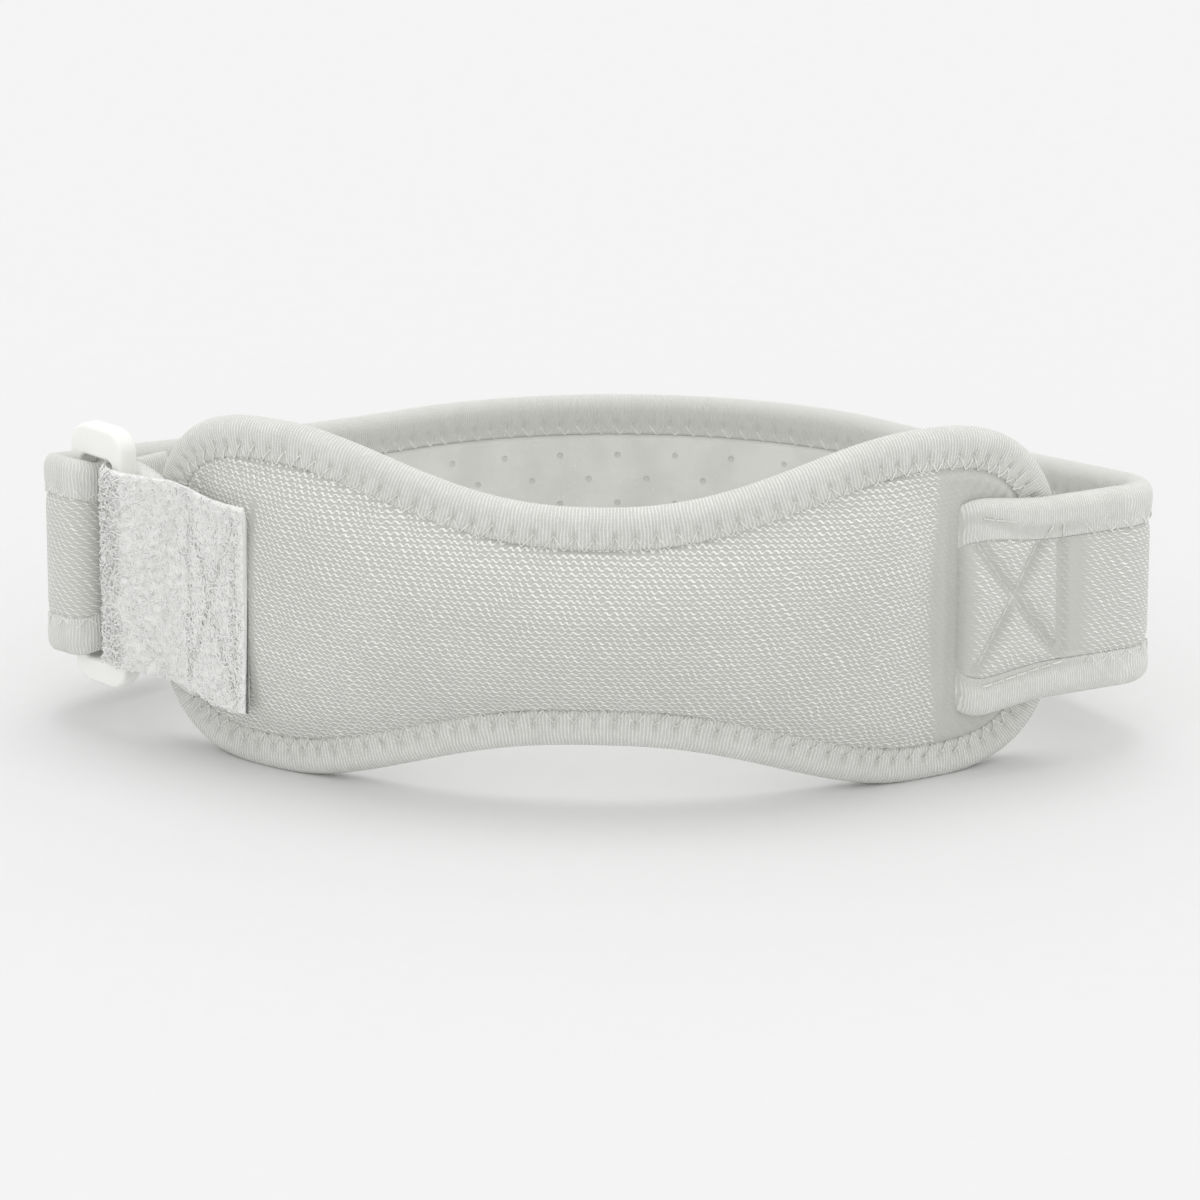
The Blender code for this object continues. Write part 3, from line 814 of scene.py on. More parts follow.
@dataclass(frozen=True)
class RibFinish(Finish):
    """Finely ribbed binding tape.

    Its pressed attribute is above 0 on the side turned into the loop, which is painted
    paler as painted light, and below 0 in the dimples of its stitches and the box's
    creases, which are painted darker as painted shade.
    """

    # painted light: the paler tone given to a binding's inner side
    inside: Colour = pale(0.70)
    pitch: float = 0.00052
    waviness: float = 1.1
    lint: float = 0.35
    patch: float = 0.8
    patch_scale: float = 240.0
    # painted light and shade: how far the pressed attribute lifts the inner side and darkens the
    # dimples
    painted_light_shade_share: float = 0.9
    # painted shade: how much darker the dimples and creases are painted
    dimple_painted_shade: float = 0.8
    span: tuple[float, float] = (-0.1, 1.0)
    depth: float = 0.00010

    def make(self, effects: Effects) -> Material:
        """Build the material from the shared groups."""
        made, graph, shader = self.start()
        rib = self.group(graph, effects.rib, Cloth=graph.cloth(), Pitch=self.pitch,
                         Waviness=self.waviness)
        fuzz = self.group(graph, effects.fuzz, Place=graph.place(), Patch_Scale=self.patch_scale)
        lint = graph.centred(fuzz.outputs["Lint"])
        ridge = graph.math("MULTIPLY_ADD", lint, self.lint, rib.outputs["Rib"])
        tone = graph.math("MULTIPLY_ADD", graph.centred(fuzz.outputs["Patch"]), self.patch, ridge)
        # painted light on the inner side where pressed is above 0, painted shade in dimples where
        # it is below 0
        hidden = graph.math("SUBTRACT", 1.0, self.painted_light_shade_factor(graph, self.painted_light_shade_share))
        dimple = graph.math("MINIMUM", hidden, 0.0)
        # painted shade: darker in the dimples and creases
        tone = graph.math("MULTIPLY_ADD", dimple, self.dimple_painted_shade, tone)
        # the rib's own tone on both faces, with the dimples' painted shade
        worn = graph.mix(graph.ramp(tone, *self.span), self.low, self.high)
        # painted light: the inner side mixed towards the paler inside tone
        graph.feed(shader.inputs["Base Color"], graph.mix(hidden, worn, self.inside))
        self.relief(graph, shader, ridge, self.depth)
        return made


@dataclass(frozen=True)
class LiningFinish(Finish):
    """Smooth foam lining with staggered air holes, which are painted darker as painted shade."""

    # painted shade: the darker tone inside each air hole
    hole: Colour = pale(0.66)
    speck: Colour = pale(0.95)
    patch_scale: float = 140.0
    patch_span: tuple[float, float] = (0.3, 0.7)
    speck_span: tuple[float, float] = (0.64, 0.72)
    speck_share: float = 0.8
    lint: float = 0.12
    depth: float = 0.00018

    def make(self, effects: Effects) -> Material:
        """Build the material from the shared groups."""
        made, graph, shader = self.start()
        holes = self.group(graph, effects.holes, Cloth=graph.cloth())
        fuzz = self.group(graph, effects.fuzz, Place=graph.place(), Patch_Scale=self.patch_scale)
        tone = graph.mix(graph.ramp(fuzz.outputs["Patch"], *self.patch_span), self.low, self.high)
        specks = graph.ramp(fuzz.outputs["Lint"], *self.speck_span, 0.0, self.speck_share)
        tone = graph.mix(specks, tone, self.speck)
        # painted shade in the air holes
        graph.feed(shader.inputs["Base Color"], graph.mix(holes.outputs["Hole"], tone, self.hole))
        lint = graph.math("MULTIPLY", fuzz.outputs["Lint"], self.lint)
        height = graph.math("SUBTRACT", lint, holes.outputs["Hole"])
        self.relief(graph, shader, height, self.depth)
        return made


@dataclass(frozen=True)
class FibreFinish(Finish):
    """Thread, pile or backing whose tone varies from spot to spot."""

    scale: float = 900.0
    span: tuple[float, float] = (0.3, 0.7)
    depth: float = 0.0001

    def make(self, effects: Effects) -> Material:
        """Build the material from the shared groups."""
        made, graph, shader = self.start()
        fuzz = self.group(graph, effects.fuzz, Place=graph.place(), Patch_Scale=self.scale)
        tone = graph.ramp(fuzz.outputs["Patch"], *self.span)
        graph.feed(shader.inputs["Base Color"], graph.mix(tone, self.low, self.high))
        self.relief(graph, shader, fuzz.outputs["Lint"], self.depth)
        return made


@dataclass(frozen=True)
class PlasticFinish(Finish):
    """Glossy moulded plastic with a faint flow and fine scuffs."""

    coat: float = 0.3
    coat_roughness: float = 0.12
    specular: float = 0.5
    lint_scale: float = 2200.0
    patch_scale: float = 60.0
    span: tuple[float, float] = (0.3, 0.7)
    smoother: float = 0.06
    rougher: float = 0.08
    depth: float = 0.00001

    def make(self, effects: Effects) -> Material:
        """Build the material from the shared groups."""
        made, graph, shader = self.start()
        shader.inputs["Sheen Weight"].default_value = 0.0
        shader.inputs["Specular IOR Level"].default_value = self.specular
        shader.inputs["Coat Weight"].default_value = self.coat
        shader.inputs["Coat Roughness"].default_value = self.coat_roughness
        fuzz = self.group(graph, effects.fuzz, Place=graph.place(), Lint_Scale=self.lint_scale,
                          Patch_Scale=self.patch_scale)
        patch = fuzz.outputs["Patch"]
        graph.feed(shader.inputs["Base Color"], graph.mix(patch, self.low, self.high))
        graph.feed(shader.inputs["Roughness"], graph.ramp(
            patch, *self.span, self.roughness - self.smoother, self.roughness + self.rougher))
        self.relief(graph, shader, fuzz.outputs["Lint"], self.depth)
        return made


@dataclass
class Wardrobe:
    """Every finish of the strap, made once."""

    effects: Effects = field(default_factory=Effects)

    def __post_init__(self) -> None:
        """Make the materials."""
        effects = self.effects
        self.pad_knit = KnitFinish("pad knit", pale(0.54), pale(0.98)).make(effects)
        self.strap_knit = KnitFinish("strap knit", pale(0.58), pale(0.98), row_pitch=0.00070,
                                     wave_length=0.00120, beading=0.82).make(effects)
        self.rib = RibFinish("ribbed binding", pale(0.62), pale(0.85)).make(effects)
        self.strap_rib = RibFinish("strap binding", pale(0.66), pale(0.86), pitch=0.00041,
                                   waviness=1.5).make(effects)
        self.lining = LiningFinish("foam lining", pale(0.74), pale(0.82)).make(effects)
        self.thread = FibreFinish("sewing thread", pale(0.70), pale(0.90), sheen=0.4).make(effects)
        self.backing = FibreFinish("tape backing", pale(0.90, 0.02), pale(0.97, 0.02),
                                   depth=0.0002).make(effects)
        self.pile = FibreFinish("looped pile", pale(0.93, 0.02), pale(0.98, 0.02),
                                sheen=1.0).make(effects)
        self.plastic = PlasticFinish("white plastic", pale(0.90), pale(0.94),
                                     roughness=0.28).make(effects)


@dataclass
class Part:
    """What every sub-assembly has: the loop, the bench and the finishes."""

    loop: Loop
    bench: Bench
    wardrobe: Wardrobe

    def dress(self, piece: Object, finish: Material, slot: str,
              node: Optional[str] = None) -> None:
        """Give a piece its finish and its place in the frame.

        Args:
            piece: The finished mesh object.
            finish: Its material.
            slot: The record's material slot; not used.
            node: The solid that the piece stands for.
        """
        piece.data.materials.clear()
        piece.data.materials.append(finish)
        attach(piece, "root")
        if node:
            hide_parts(node)
        mesh = piece.data
        log.info("%s: %d vertices, %d faces", piece.name, len(mesh.vertices), len(mesh.polygons))


@dataclass
class Filling:
    """A short cloth simulation of the pad's front, blown out from inside between its seams."""

    begin: float
    end: float
    half: Callable[[Array], Array]
    shape: Callable[[Array, Array], Array]
    columns: int = 118
    rows: int = 46
    scale: float = 20.0
    pressure: float = 4.0
    frames: int = 20
    most: float = 0.0010
    quality: int = 5
    mass: float = 0.3
    stiffness: float = 0.5
    border: float = 0.4999
    moved: Optional[Array] = None

    def spots(self, u: Array, v: Array) -> tuple[Array, Array]:
        """Turn shares along and across the front into flat measures."""
        along = self.begin + (self.end - self.begin) * u
        return along, (2.0 * v - 1.0) * self.half(along)

    def cloth(self) -> tuple[Object, Array, Array]:
        """Lay out the cloth, many times life size, held along its border.

        Returns:
            The cloth, its points, and each point's column and row.
        """
        bm = bmesh.new()
        bmesh.ops.create_grid(bm, x_segments=self.columns, y_segments=self.rows, size=1.0)
        mesh = bpy.data.meshes.new("filling")
        bm.to_mesh(mesh)
        bm.free()
        flat = np.empty(len(mesh.vertices) * 3)
        mesh.vertices.foreach_get("co", flat)
        u, v = (flat.reshape(-1, 3)[:, :2].T + 1.0) / 2
        along, height = self.spots(u, v)
        points = np.column_stack([along, height, self.shape(along, height)]) * self.scale
        mesh.vertices.foreach_set("co", points.ravel())
        piece = bpy.data.objects.new("filling", mesh)
        bpy.context.scene.collection.objects.link(piece)
        out = np.maximum(np.abs(u - 0.5), np.abs(v - 0.5))
        held = np.flatnonzero(out > self.border)
        piece.vertex_groups.new(name="held").add(held.tolist(), 1.0, "REPLACE")
        cells = np.rint(np.column_stack([u * self.columns, v * self.rows])).astype(int)
        return piece, points, cells

    def run(self) -> None:
        """Run the simulation and keep how far it moves each point of the front."""
        piece, points, cells = self.cloth()
        cloth = piece.modifiers.new("filling", "CLOTH")
        settings = cloth.settings
        settings.quality = self.quality
        settings.mass = self.mass
        settings.bending_stiffness = self.stiffness
        settings.vertex_group_mass = "held"
        settings.use_pressure = True
        settings.uniform_pressure_force = self.pressure
        settings.effector_weights.gravity = 0.0
        cloth.collision_settings.use_collision = False
        cloth.point_cache.frame_start = 1
        cloth.point_cache.frame_end = self.frames
        scene = bpy.context.scene
        for frame in range(1, self.frames + 1):
            scene.frame_set(frame)
        blown = piece.evaluated_get(bpy.context.evaluated_depsgraph_get()).to_mesh()
        after = np.empty(len(blown.vertices) * 3)
        blown.vertices.foreach_get("co", after)
        gone = (after.reshape(-1, 3)[:, 2] - points[:, 2]) / self.scale
        log.info("filling moves the front by %.2f to %.2f mm", gone.min() * 1000, gone.max() * 1000)
        self.moved = np.zeros((self.columns + 1, self.rows + 1))
        self.moved[cells[:, 0], cells[:, 1]] = np.clip(gone, -self.most, self.most)
        bpy.data.objects.remove(piece)
        scene.frame_set(1)

    def out(self, along: Array, height: Array) -> Array:
        """How far the filling moves a spot of the front outward."""
        u = (along - self.begin) / (self.end - self.begin)
        v = (height / np.maximum(self.half(along), 1e-6) + 1.0) / 2
        inside = (u > 0.0) & (u < 1.0) & (v > 0.0) & (v < 1.0)
        x, y = np.clip(u, 0.0, 1.0) * self.columns, np.clip(v, 0.0, 1.0) * self.rows
        i = np.minimum(x.astype(int), self.columns - 1)
        j = np.minimum(y.astype(int), self.rows - 1)
        fx, fy = x - i, y - j
        near = self.moved[i, j] * (1 - fy) + self.moved[i, j + 1] * fy
        far = self.moved[i + 1, j] * (1 - fy) + self.moved[i + 1, j + 1] * fy
        return np.where(inside, near * (1 - fx) + far * fx, 0.0)


@dataclass
class Pad(Part):
    """The padded dog-bone pad with its binding and edge stitches."""

    columns: int = 640
    rows: int = 84
    # the knit at the binding, the strap and the tape
    seam_row: float = 0.07
    seam_ease: float = -0.0001
    seam_rise: float = 0.0007
    face_rise: float = 0.0004
    face_ease: float = 0.0005
    strap_seat: float = 0.0010
    seat_from: float = 0.0500
    seat_run: float = 0.0050
    seat_ease: float = 0.0015
    tape_groove: float = 0.0001
    tape_end: float = -0.0530
    # the padding
    padding_right: float = 0.0550
    padding_left: float = 0.0640
    right_bow: float = 0.0030
    ramp_right: float = 0.0110
    ramp_left: float = 0.0220
    crown_power: float = 2.4
    crown_fall: float = 0.6
    #     where the knit's ridges are taken out as painted shade
    painted_shade_ease: float = 0.0018
    line_width: float = 0.0007
    line_half: float = 0.0175
    line_fade: float = 0.0015
    # how the grid's rows close on the pad's middle line
    line_reach: float = 0.92
    crowding: float = 1.35
    # the binding and its stitches
    stitches: int = 132
    stitch_uneven: tuple[float, float] = (-0.0004, 0.0002)
    pucker: float = 0.00040
    pucker_at: float = 0.0016
    pucker_behind: float = 0.5
    seam: Seam = Seam(at=0.0042, dimple=0.00066, dimple_width=0.0010, edge=0.00035,
                      edge_from=0.0035, edge_run=0.0025, arches=(0.00020, 0.00006))
    edge_even: float = 0.6
    edge_waves: float = 0.4
    drawn: float = 0.00025
    drawn_from: float = 0.0050
    drawn_run: float = 0.0014
    skin_from: float = 0.00001
    seed: int = 3
    thread_radius: float = 0.00011
    binding_steps: int = 1188
    slack: float = 0.10
    filling: Optional[Filling] = None

    def bare_half(self, along: Array) -> Array:
        """Half height of the knit that shows between the bindings."""
        loop = self.loop
        room = loop.pad_half_length - loop.lobe_at - loop.binding_width
        past = np.clip((np.abs(along) - loop.lobe_at) / room, 0.0, 1.0)
        rounded = (1.0 - past ** loop.end_roundness) ** (1.0 / loop.end_roundness)
        return (loop.half_height(along) - loop.binding_width) * rounded

    def padding(self, along: Array, height: Array) -> Array:
        """Share of the full padding at a spot on the pad."""
        across = np.clip(np.abs(height) / np.maximum(self.bare_half(along), 1e-7), 0.0, 1.0)
        to_end = self.to_padding_end(along, across)
        ramp = np.where(along > 0.0, self.ramp_right, self.ramp_left)
        end_share = np.clip(to_end / ramp, 0.0, 1.0)
        crown = (1.0 - across ** self.crown_power) ** self.crown_fall
        return np.sin(end_share * np.pi / 2) * crown

    def slack_shape(self, along: Array, height: Array) -> Array:
        """Shape of the front before it is filled, a little flatter than the finished one."""
        return (1.0 - self.slack) * self.loop.bulge_front * self.padding(along, height)

    def to_padding_end(self, along: Array, across: Array) -> Array:
        """Distance from a spot to the nearer end of the padding, which is bowed on the right."""
        bowed = self.padding_right - self.right_bow * (1.0 - across ** 2)
        return np.where(along > 0.0, bowed - along, self.padding_left + along)

    def painted_shade_mask(self, along: Array, height: Array) -> Array:
        """Painted shade on the front: 1 where the knit's bright ridges are taken out, in the valley
        past the padding's right end and along the tape's end.
        """
        across = np.clip(np.abs(height) / self.loop.lobe_half, 0.0, 1.0)
        to_end = self.to_padding_end(along, across)
        past_end = eased((self.painted_shade_ease - to_end) / self.painted_shade_ease) * (along > 0.0)
        return np.maximum(past_end, self.tape_line(along, height))

    def tape_line(self, along: Array, height: Array) -> Array:
        """1 on the line where the closure tape's free end presses on the pad."""
        within = eased((self.line_half - np.abs(height)) / self.line_fade)
        return hump(along - self.tape_end, self.line_width) * within

    def ripple(self, gone: Array) -> Array:
        """1 at each stitch along the outline and 0 between."""
        share = gone / self.loop.outline(8)[-1, 4]
        return 0.5 + 0.5 * np.cos(2 * np.pi * share * self.stitches)

    def carry_body(self, u: Array, v: Array) -> tuple[Array, Array]:
        """Carry the body's grid: round the outline, and from the back's middle to the front's."""
        loop = self.loop
        along, height, inward_a, inward_h, gone = row_at(loop.outline(self.columns), u)
        side = np.where(v < 0.5, -1.0, 1.0)
        depth = np.abs(v - 0.5) * 2.0
        under = np.clip(depth / self.seam_row, 0.0, 1.0)
        to_seam = loop.binding_width + self.seam_ease - loop.binding_sink
        inset = loop.binding_sink + to_seam * under
        along = along + inward_a * inset
        height = height + inward_h * inset
        share = np.clip((depth - self.seam_row) / (1.0 - self.seam_row), 0.0, 1.0) ** self.crowding
        reach = loop.lobe_at * self.line_reach
        to_middle = np.clip(along, -reach, reach) - along
        to_line = np.hypot(to_middle, height) * share
        along = along + to_middle * share
        height = height * (1.0 - share)
        front = side > 0.0
        bulge = np.where(front, loop.bulge_front, loop.bulge_back)
        rise = self.seam_rise + self.face_rise * eased(to_line / self.face_ease)
        seat = self.strap_seat * eased((along - self.seat_from) / self.seat_run)
        seat = seat * eased(to_line / self.seat_ease) * front
        groove = self.tape_groove * self.tape_line(along, height) * front
        pull = self.pucker * self.ripple(gone) * hump(to_line - self.pucker_at, self.pucker_at)
        pull = pull * np.where(front, 1.0, self.pucker_behind)
        padding = self.padding(along, height)
        face = rise * (1.0 - padding) + bulge * padding + seat - groove - pull
        if self.filling:
            blown = self.filling.out(along, height) - self.slack * loop.bulge_front * padding
            face = face + blown * front
        offset = loop.margin_half + np.where(share > 0.0, face, 0.0)
        # painted shade on the front only, kept in the pressed attribute
        pressed = self.painted_shade_mask(along, height) * front
        place = loop.on_pad(along, height, side * offset)
        return place, np.stack([along, height, pressed], axis=-1)

    def drop(self, depth: Array, ripple: Array) -> Array:
        """How far the binding's skin sinks at a stitch and towards its inner edge."""
        at_edge = self.seam.fall(depth) * (self.edge_even + self.edge_waves * ripple)
        return np.maximum(self.seam.dimples(depth, ripple), at_edge)

    def carry_binding(self, u: Array, v: Array) -> tuple[Array, Array]:
        """Carry the binding's grid: round the outline, and round its own section."""
        loop = self.loop
        along, height, inward_a, inward_h, gone = row_at(loop.outline(self.binding_steps), u)
        depth, offset, measure = row_at(self.section.profile(), v)
        ripple = self.ripple(gone)
        room = np.maximum(np.abs(offset) - self.section.inner, 0.0)
        outer = room > self.skin_from
        offset = offset - np.sign(offset) * np.minimum(self.drop(depth, ripple), room)
        # painted shade: below 0 at each stitch's dimple, darkened by the binding's finish
        pressed = -ripple ** 6 * self.seam.line(depth)
        drawn = self.drawn * (1.0 - ripple) * eased((depth - self.drawn_from) / self.drawn_run)
        depth = depth - np.where(outer, drawn, 0.0)
        place = loop.on_pad(along + inward_a * depth, height + inward_h * depth, offset)
        return place, np.stack([gone, measure, pressed], axis=-1)

    @property
    def section(self) -> BindingShape:
        """The binding's cross-section."""
        loop = self.loop
        return BindingShape(loop.binding_width, loop.pad_binding_half, loop.margin_half + loop.gap,
                            loop.binding_sink - loop.gap)

    def stitch_line(self, side: float) -> list[Array]:
        """Zigzag thread along the binding's inner edge, each leg of it a little arched."""
        loop = self.loop
        chance = np.random.default_rng(self.seed)
        peaks = loop.outline(self.stitches * 2)
        share = np.linspace(0.0, 1.0, 5)
        lines = []
        for i in range(self.stitches * 2):
            fall = leg(share, i)
            near = self.seam.at + chance.uniform(*self.stitch_uneven)
            depth = near + (loop.binding_width - self.seam.end_gap - near) * fall
            row = peaks[i] + (peaks[i + 1] - peaks[i]) * share[:, None]
            along = row[:, 0] + row[:, 2] * depth
            height = row[:, 1] + row[:, 3] * depth
            skin = loop.pad_binding_half - self.drop(depth, 0.5 + 0.5 * np.cos(np.pi * fall))
            lines.append(loop.on_pad(along, height, side * (skin + self.seam.arch(i, share))))
        return lines

    def build(self) -> None:
        """Build and dress the pad's pieces."""
        wardrobe = self.wardrobe
        self.filling = Filling(-self.padding_left, self.padding_right, self.bare_half,
                               self.slack_shape)
        self.filling.run()
        body = self.bench.grid("pad_body_cloth", self.columns, self.rows, self.carry_body)
        self.dress(body, wardrobe.pad_knit, "knit", "pad_body")
        rows = len(self.section.profile()) - 1
        binding = self.bench.grid("pad_binding_tape", self.binding_steps, rows, self.carry_binding)
        self.dress(binding, wardrobe.rib, "ribbed_binding", "pad_binding")
        for name, side in (("front", 1.0), ("back", -1.0)):
            thread = self.bench.threads(f"pad_stitches_{name}", self.stitch_line(side),
                                        self.thread_radius)
            self.dress(thread, wardrobe.thread, "ribbed_binding")


@dataclass
class BoxStitch:
    """Lines of a boxed cross that sews two layers together, in flat strap measures."""

    lines: tuple[tuple[tuple[float, float], ...], ...]
    width: float
    pitch: float = 0.0021
    share: float = 0.8

    def nearest(self, along: Array, height: Array) -> Array:
        """Distance to the nearest stitched line."""
        best = np.full(np.shape(along), 1.0)
        for line in self.lines:
            for (x0, y0), (x1, y1) in zip(line, line[1:]):
                dx, dy = x1 - x0, y1 - y0
                share = ((along - x0) * dx + (height - y0) * dy) / (dx * dx + dy * dy)
                share = np.clip(share, 0.0, 1.0)
                best = np.minimum(best, np.hypot(along - x0 - dx * share, height - y0 - dy * share))
        return best

    def groove(self, along: Array, height: Array) -> Array:
        """1 on a stitched line, fading to 0 beside it."""
        return hump(self.nearest(along, height), self.width)

    def runs(self) -> list[Array]:
        """Give the single stitches as short rows of along and height."""
        made = []
        for line in self.lines:
            points = np.array(line)
            gone = distances(points)
            for i in range(int(gone[-1] / self.pitch)):
                spots = np.linspace(i * self.pitch, (i + self.share) * self.pitch, 5)
                made.append(read_line(points, gone, spots))
        return made


@dataclass
class Strap(Part):
    """The strap: knit face, perforated lining, bound edges and box stitch."""

    step: float = 0.0004
    # its two ends and its fold round the ring
    end_round: float = 0.0048
    tail_round: float = 0.0014
    corner_cut: float = 0.0018
    fold_round: float = 0.0009
    fold_reach: float = 0.0026
    thin_end: float = 0.12
    seat: float = 0.0002
    # the boxed cross and the dip past it
    groove_depth: float = 0.0016
    pillow: float = 0.0010
    pillow_reach: float = 0.0032
    box_end: float = 0.0175
    box_fade: float = 0.0060
    dip: float = 0.0010
    dip_at: float = 0.0196
    dip_width: float = 0.0020
    dip_half: float = 0.0150
    dip_fade: float = 0.0040
    #     where the knit's ridges are taken out as painted shade
    painted_shade_past_box: float = 0.0024
    painted_shade_at_end: float = 0.0008
    painted_shade_end_run: float = 0.0022
    painted_shade_at_ring: float = 0.35
    painted_shade_lead: float = 0.0040
    painted_shade_run: float = 0.0060
    # the two layers at their seams
    tuck: float = 0.00015
    lip_rise: float = 0.0005
    lip_ease: float = 0.0002
    face_rise: float = 0.0003
    face_ease: float = 0.0022
    sink_ease: float = 0.0012
    thinnest: float = 0.0002
    split: float = 0.0003
    face_rows: int = 44
    lining_rows: int = 20
    # the bindings and their stitches
    tape_rows: int = 20
    tape_roll: float = 0.0023
    tape_left: float = 0.00025
    crease_depth: float = 0.0010
    crease_width: float = 0.0008
    crease_top: float = 0.0026
    crease_fall: float = 0.0024
    crease_run: float = 0.0120
    crease_low: float = 0.0056
    seam: Seam = Seam(at=0.0044, dimple=0.00045, dimple_width=0.0007, edge=0.0003,
                      edge_from=0.0036, edge_run=0.0022, arches=(0.00016, 0.00005))
    stitch_pitch: float = 0.0032
    stitches_from: tuple[float, float] = (0.0208, 0.0040)
    stitches_short: float = 0.0020
    inner_lift: float = -0.00007
    thread_radius: float = 0.00012
    box_arch: float = 0.00014
    box_on_tape: float = 0.0004
    box: BoxStitch = field(default_factory=lambda: BoxStitch((
        ((0.0013, 0.0126), (0.0034, 0.0090), (0.0089, 0.0012), (0.0168, -0.0092)),
        ((0.0153, 0.0123), (0.0128, 0.0086), (0.0089, 0.0012), (0.0018, -0.0112)),
        ((0.0030, 0.0148), (0.0085, 0.0136), (0.0170, 0.0128)),
        ((0.0170, 0.0126), (0.0173, -0.0100)),
        ((0.0173, -0.0102), (0.0095, -0.0114), (0.0022, -0.0126)),
    ), width=0.0010))

    @property
    def columns(self) -> int:
        """How many steps the strap has along its length."""
        return int(self.loop.strap.length / self.step)

    @property
    def section(self) -> BindingShape:
        """Cross-section of the strap's bindings."""
        loop = self.loop
        return BindingShape(loop.binding_width, loop.strap_binding_half,
                            loop.strap_edge_half + loop.gap, loop.binding_sink - loop.gap,
                            roll=self.tape_roll)

    def width(self, along: Array) -> Array:
        """Width of the strap, drawn in at its sewn end's corners and in its fold at the ring."""
        near = np.clip(along / self.end_round, 0.0, 1.0)
        corner = self.corner_cut * (1.0 - np.sqrt(1.0 - (1.0 - near) ** 2))
        fold = self.fold_round * hump(along - self.loop.fold_middle, self.fold_reach)
        return self.loop.width_at(along) - 2.0 * (corner + fold)

    def settled(self, along: Array, offset: Array) -> Array:
        """Squeeze an offset where the strap is thin, and round its two ends off.

        Args:
            along: Distances along the strap.
            offset: Offsets of a strap that is full and endless.

        Returns:
            The offsets. The sewn end runs out flat on the pad.
        """
        loop = self.loop
        near = np.clip(along / self.end_round, 0.0, 1.0)
        far = np.clip((loop.strap.length - along) / self.tail_round, 0.0, 1.0)
        rest = 1.0 - self.thin_end
        full = self.thin_end + rest * np.sqrt(1.0 - (1.0 - near) ** 2)
        tail = self.thin_end + rest * np.sqrt(1.0 - (1.0 - far) ** 2)
        floor = self.seat - loop.strap_binding_half * loop.sewn_share
        return (floor + (offset * loop.squeeze(along) - floor) * full) * tail

    def sewn(self, along: Array) -> Array:
        """1 where the strap is sewn on the pad, easing to 0 past the box."""
        return 1.0 - eased((along - self.box_end) / self.box_fade)

    def sink(self, along: Array, height: Array) -> Array:
        """How far the outer face is drawn in by the box stitch."""
        pressed = self.groove_depth * self.box.groove(along, height)
        clear = 1.0 - hump(self.box.nearest(along, height), self.pillow_reach)
        within = eased((self.dip_half - np.abs(height)) / self.dip_fade)
        past_box = self.dip * hump(along - self.dip_at, self.dip_width) * within
        return pressed + past_box - self.pillow * (clear * self.sewn(along))

    def painted_shade_mask(self, along: Array, height: Array) -> Array:
        """Painted shade on the face: where the knit's bright ridges are taken out, in the box's
        grooves, past it, at the sewn end and round the ring.
        """
        grooves = self.box.groove(along, height)
        past_box = hump(along - self.dip_at, self.painted_shade_past_box)
        at_end = 1.0 - eased((along - self.painted_shade_at_end) / self.painted_shade_end_run)
        to_ring = along - self.loop.left_tip + self.painted_shade_lead
        at_ring = self.painted_shade_at_ring * eased(to_ring / self.painted_shade_run)
        return np.maximum(np.maximum(grooves, past_box), np.maximum(at_end, at_ring))

    @staticmethod
    def layer_table(bare: int, hidden: int = 4) -> Array:
        """Walk round a layer's section.

        Args:
            bare: How many rows show between the bindings, closer together at both seams.
            hidden: How many rows lie under each binding.

        Returns:
            Rows of the place across (0 to 1 between the seams) and 1 for the layer's skin
            or 0 for the side that it turns to the other layer.
        """
        share = np.linspace(0.0, 1.0, bare)
        share = 0.5 * share + 0.25 * (1.0 - np.cos(np.pi * share))
        under = np.linspace(0.0, 1.0, hidden + 1)[1:]
        across = np.concatenate([-under[::-1], share, 1.0 + under, [2.0, -1.0, -1.0]])
        skin = np.ones(len(across))
        skin[-3:-1] = 0.0
        return np.column_stack([across, skin])

    def layer(self, outer: bool, table: Array) -> Carry:
        """Give the carry of the face or of the lining over a section table."""
        loop = self.loop

        def carry(u: Array, v: Array) -> tuple[Array, Array]:
            """Carry the layer's grid: along the strap, and round the layer's section."""
            along = u * loop.strap.length
            across, skin = row_at(table, v)
            half_width = self.width(along) / 2
            seam = half_width - loop.binding_width + self.tuck
            tucked = np.maximum(-across, across - 1.0)
            edge = seam + (half_width - loop.binding_sink - seam) * tucked
            shown = seam * (2.0 * across - 1.0)
            height = np.where(tucked > 0.0, np.sign(across - 0.5) * edge, shown)
            bare = np.where(tucked > 0.0, 0.0, seam - np.abs(height))
            lip = self.lip_rise * eased(bare / self.lip_ease)
            full = loop.strap_half + self.face_rise if outer else loop.strap_half
            offset = loop.strap_edge_half + lip
            offset = offset + (full - loop.strap_edge_half - lip) * eased(bare / self.face_ease)
            if outer:
                offset = offset - self.sink(along, height) * eased(bare / self.sink_ease)
                offset = np.maximum(offset, self.split + self.thinnest)
                offset = np.where(skin > 0.5, offset, self.split)
                # painted shade on the face, kept in the pressed attribute
                pressed = self.painted_shade_mask(along, height)
            else:
                offset = np.where(skin > 0.5, -offset, self.split - loop.gap / loop.fold_share)
                pressed = np.zeros_like(along)
            place = loop.on_strap(along, height, self.settled(along, offset))
            return place, np.stack([along, height, pressed], axis=-1)

        return carry

    def crease(self, along: Array, depth: Array, side: Side) -> Array:
        """1 where the box's top or bottom line of stitches creases a binding, else 0."""
        at = self.crease_low
        if side is Side.TOP:
            at = self.crease_top + self.crease_fall * eased(along / self.crease_run)
        return hump(depth - at, self.crease_width)

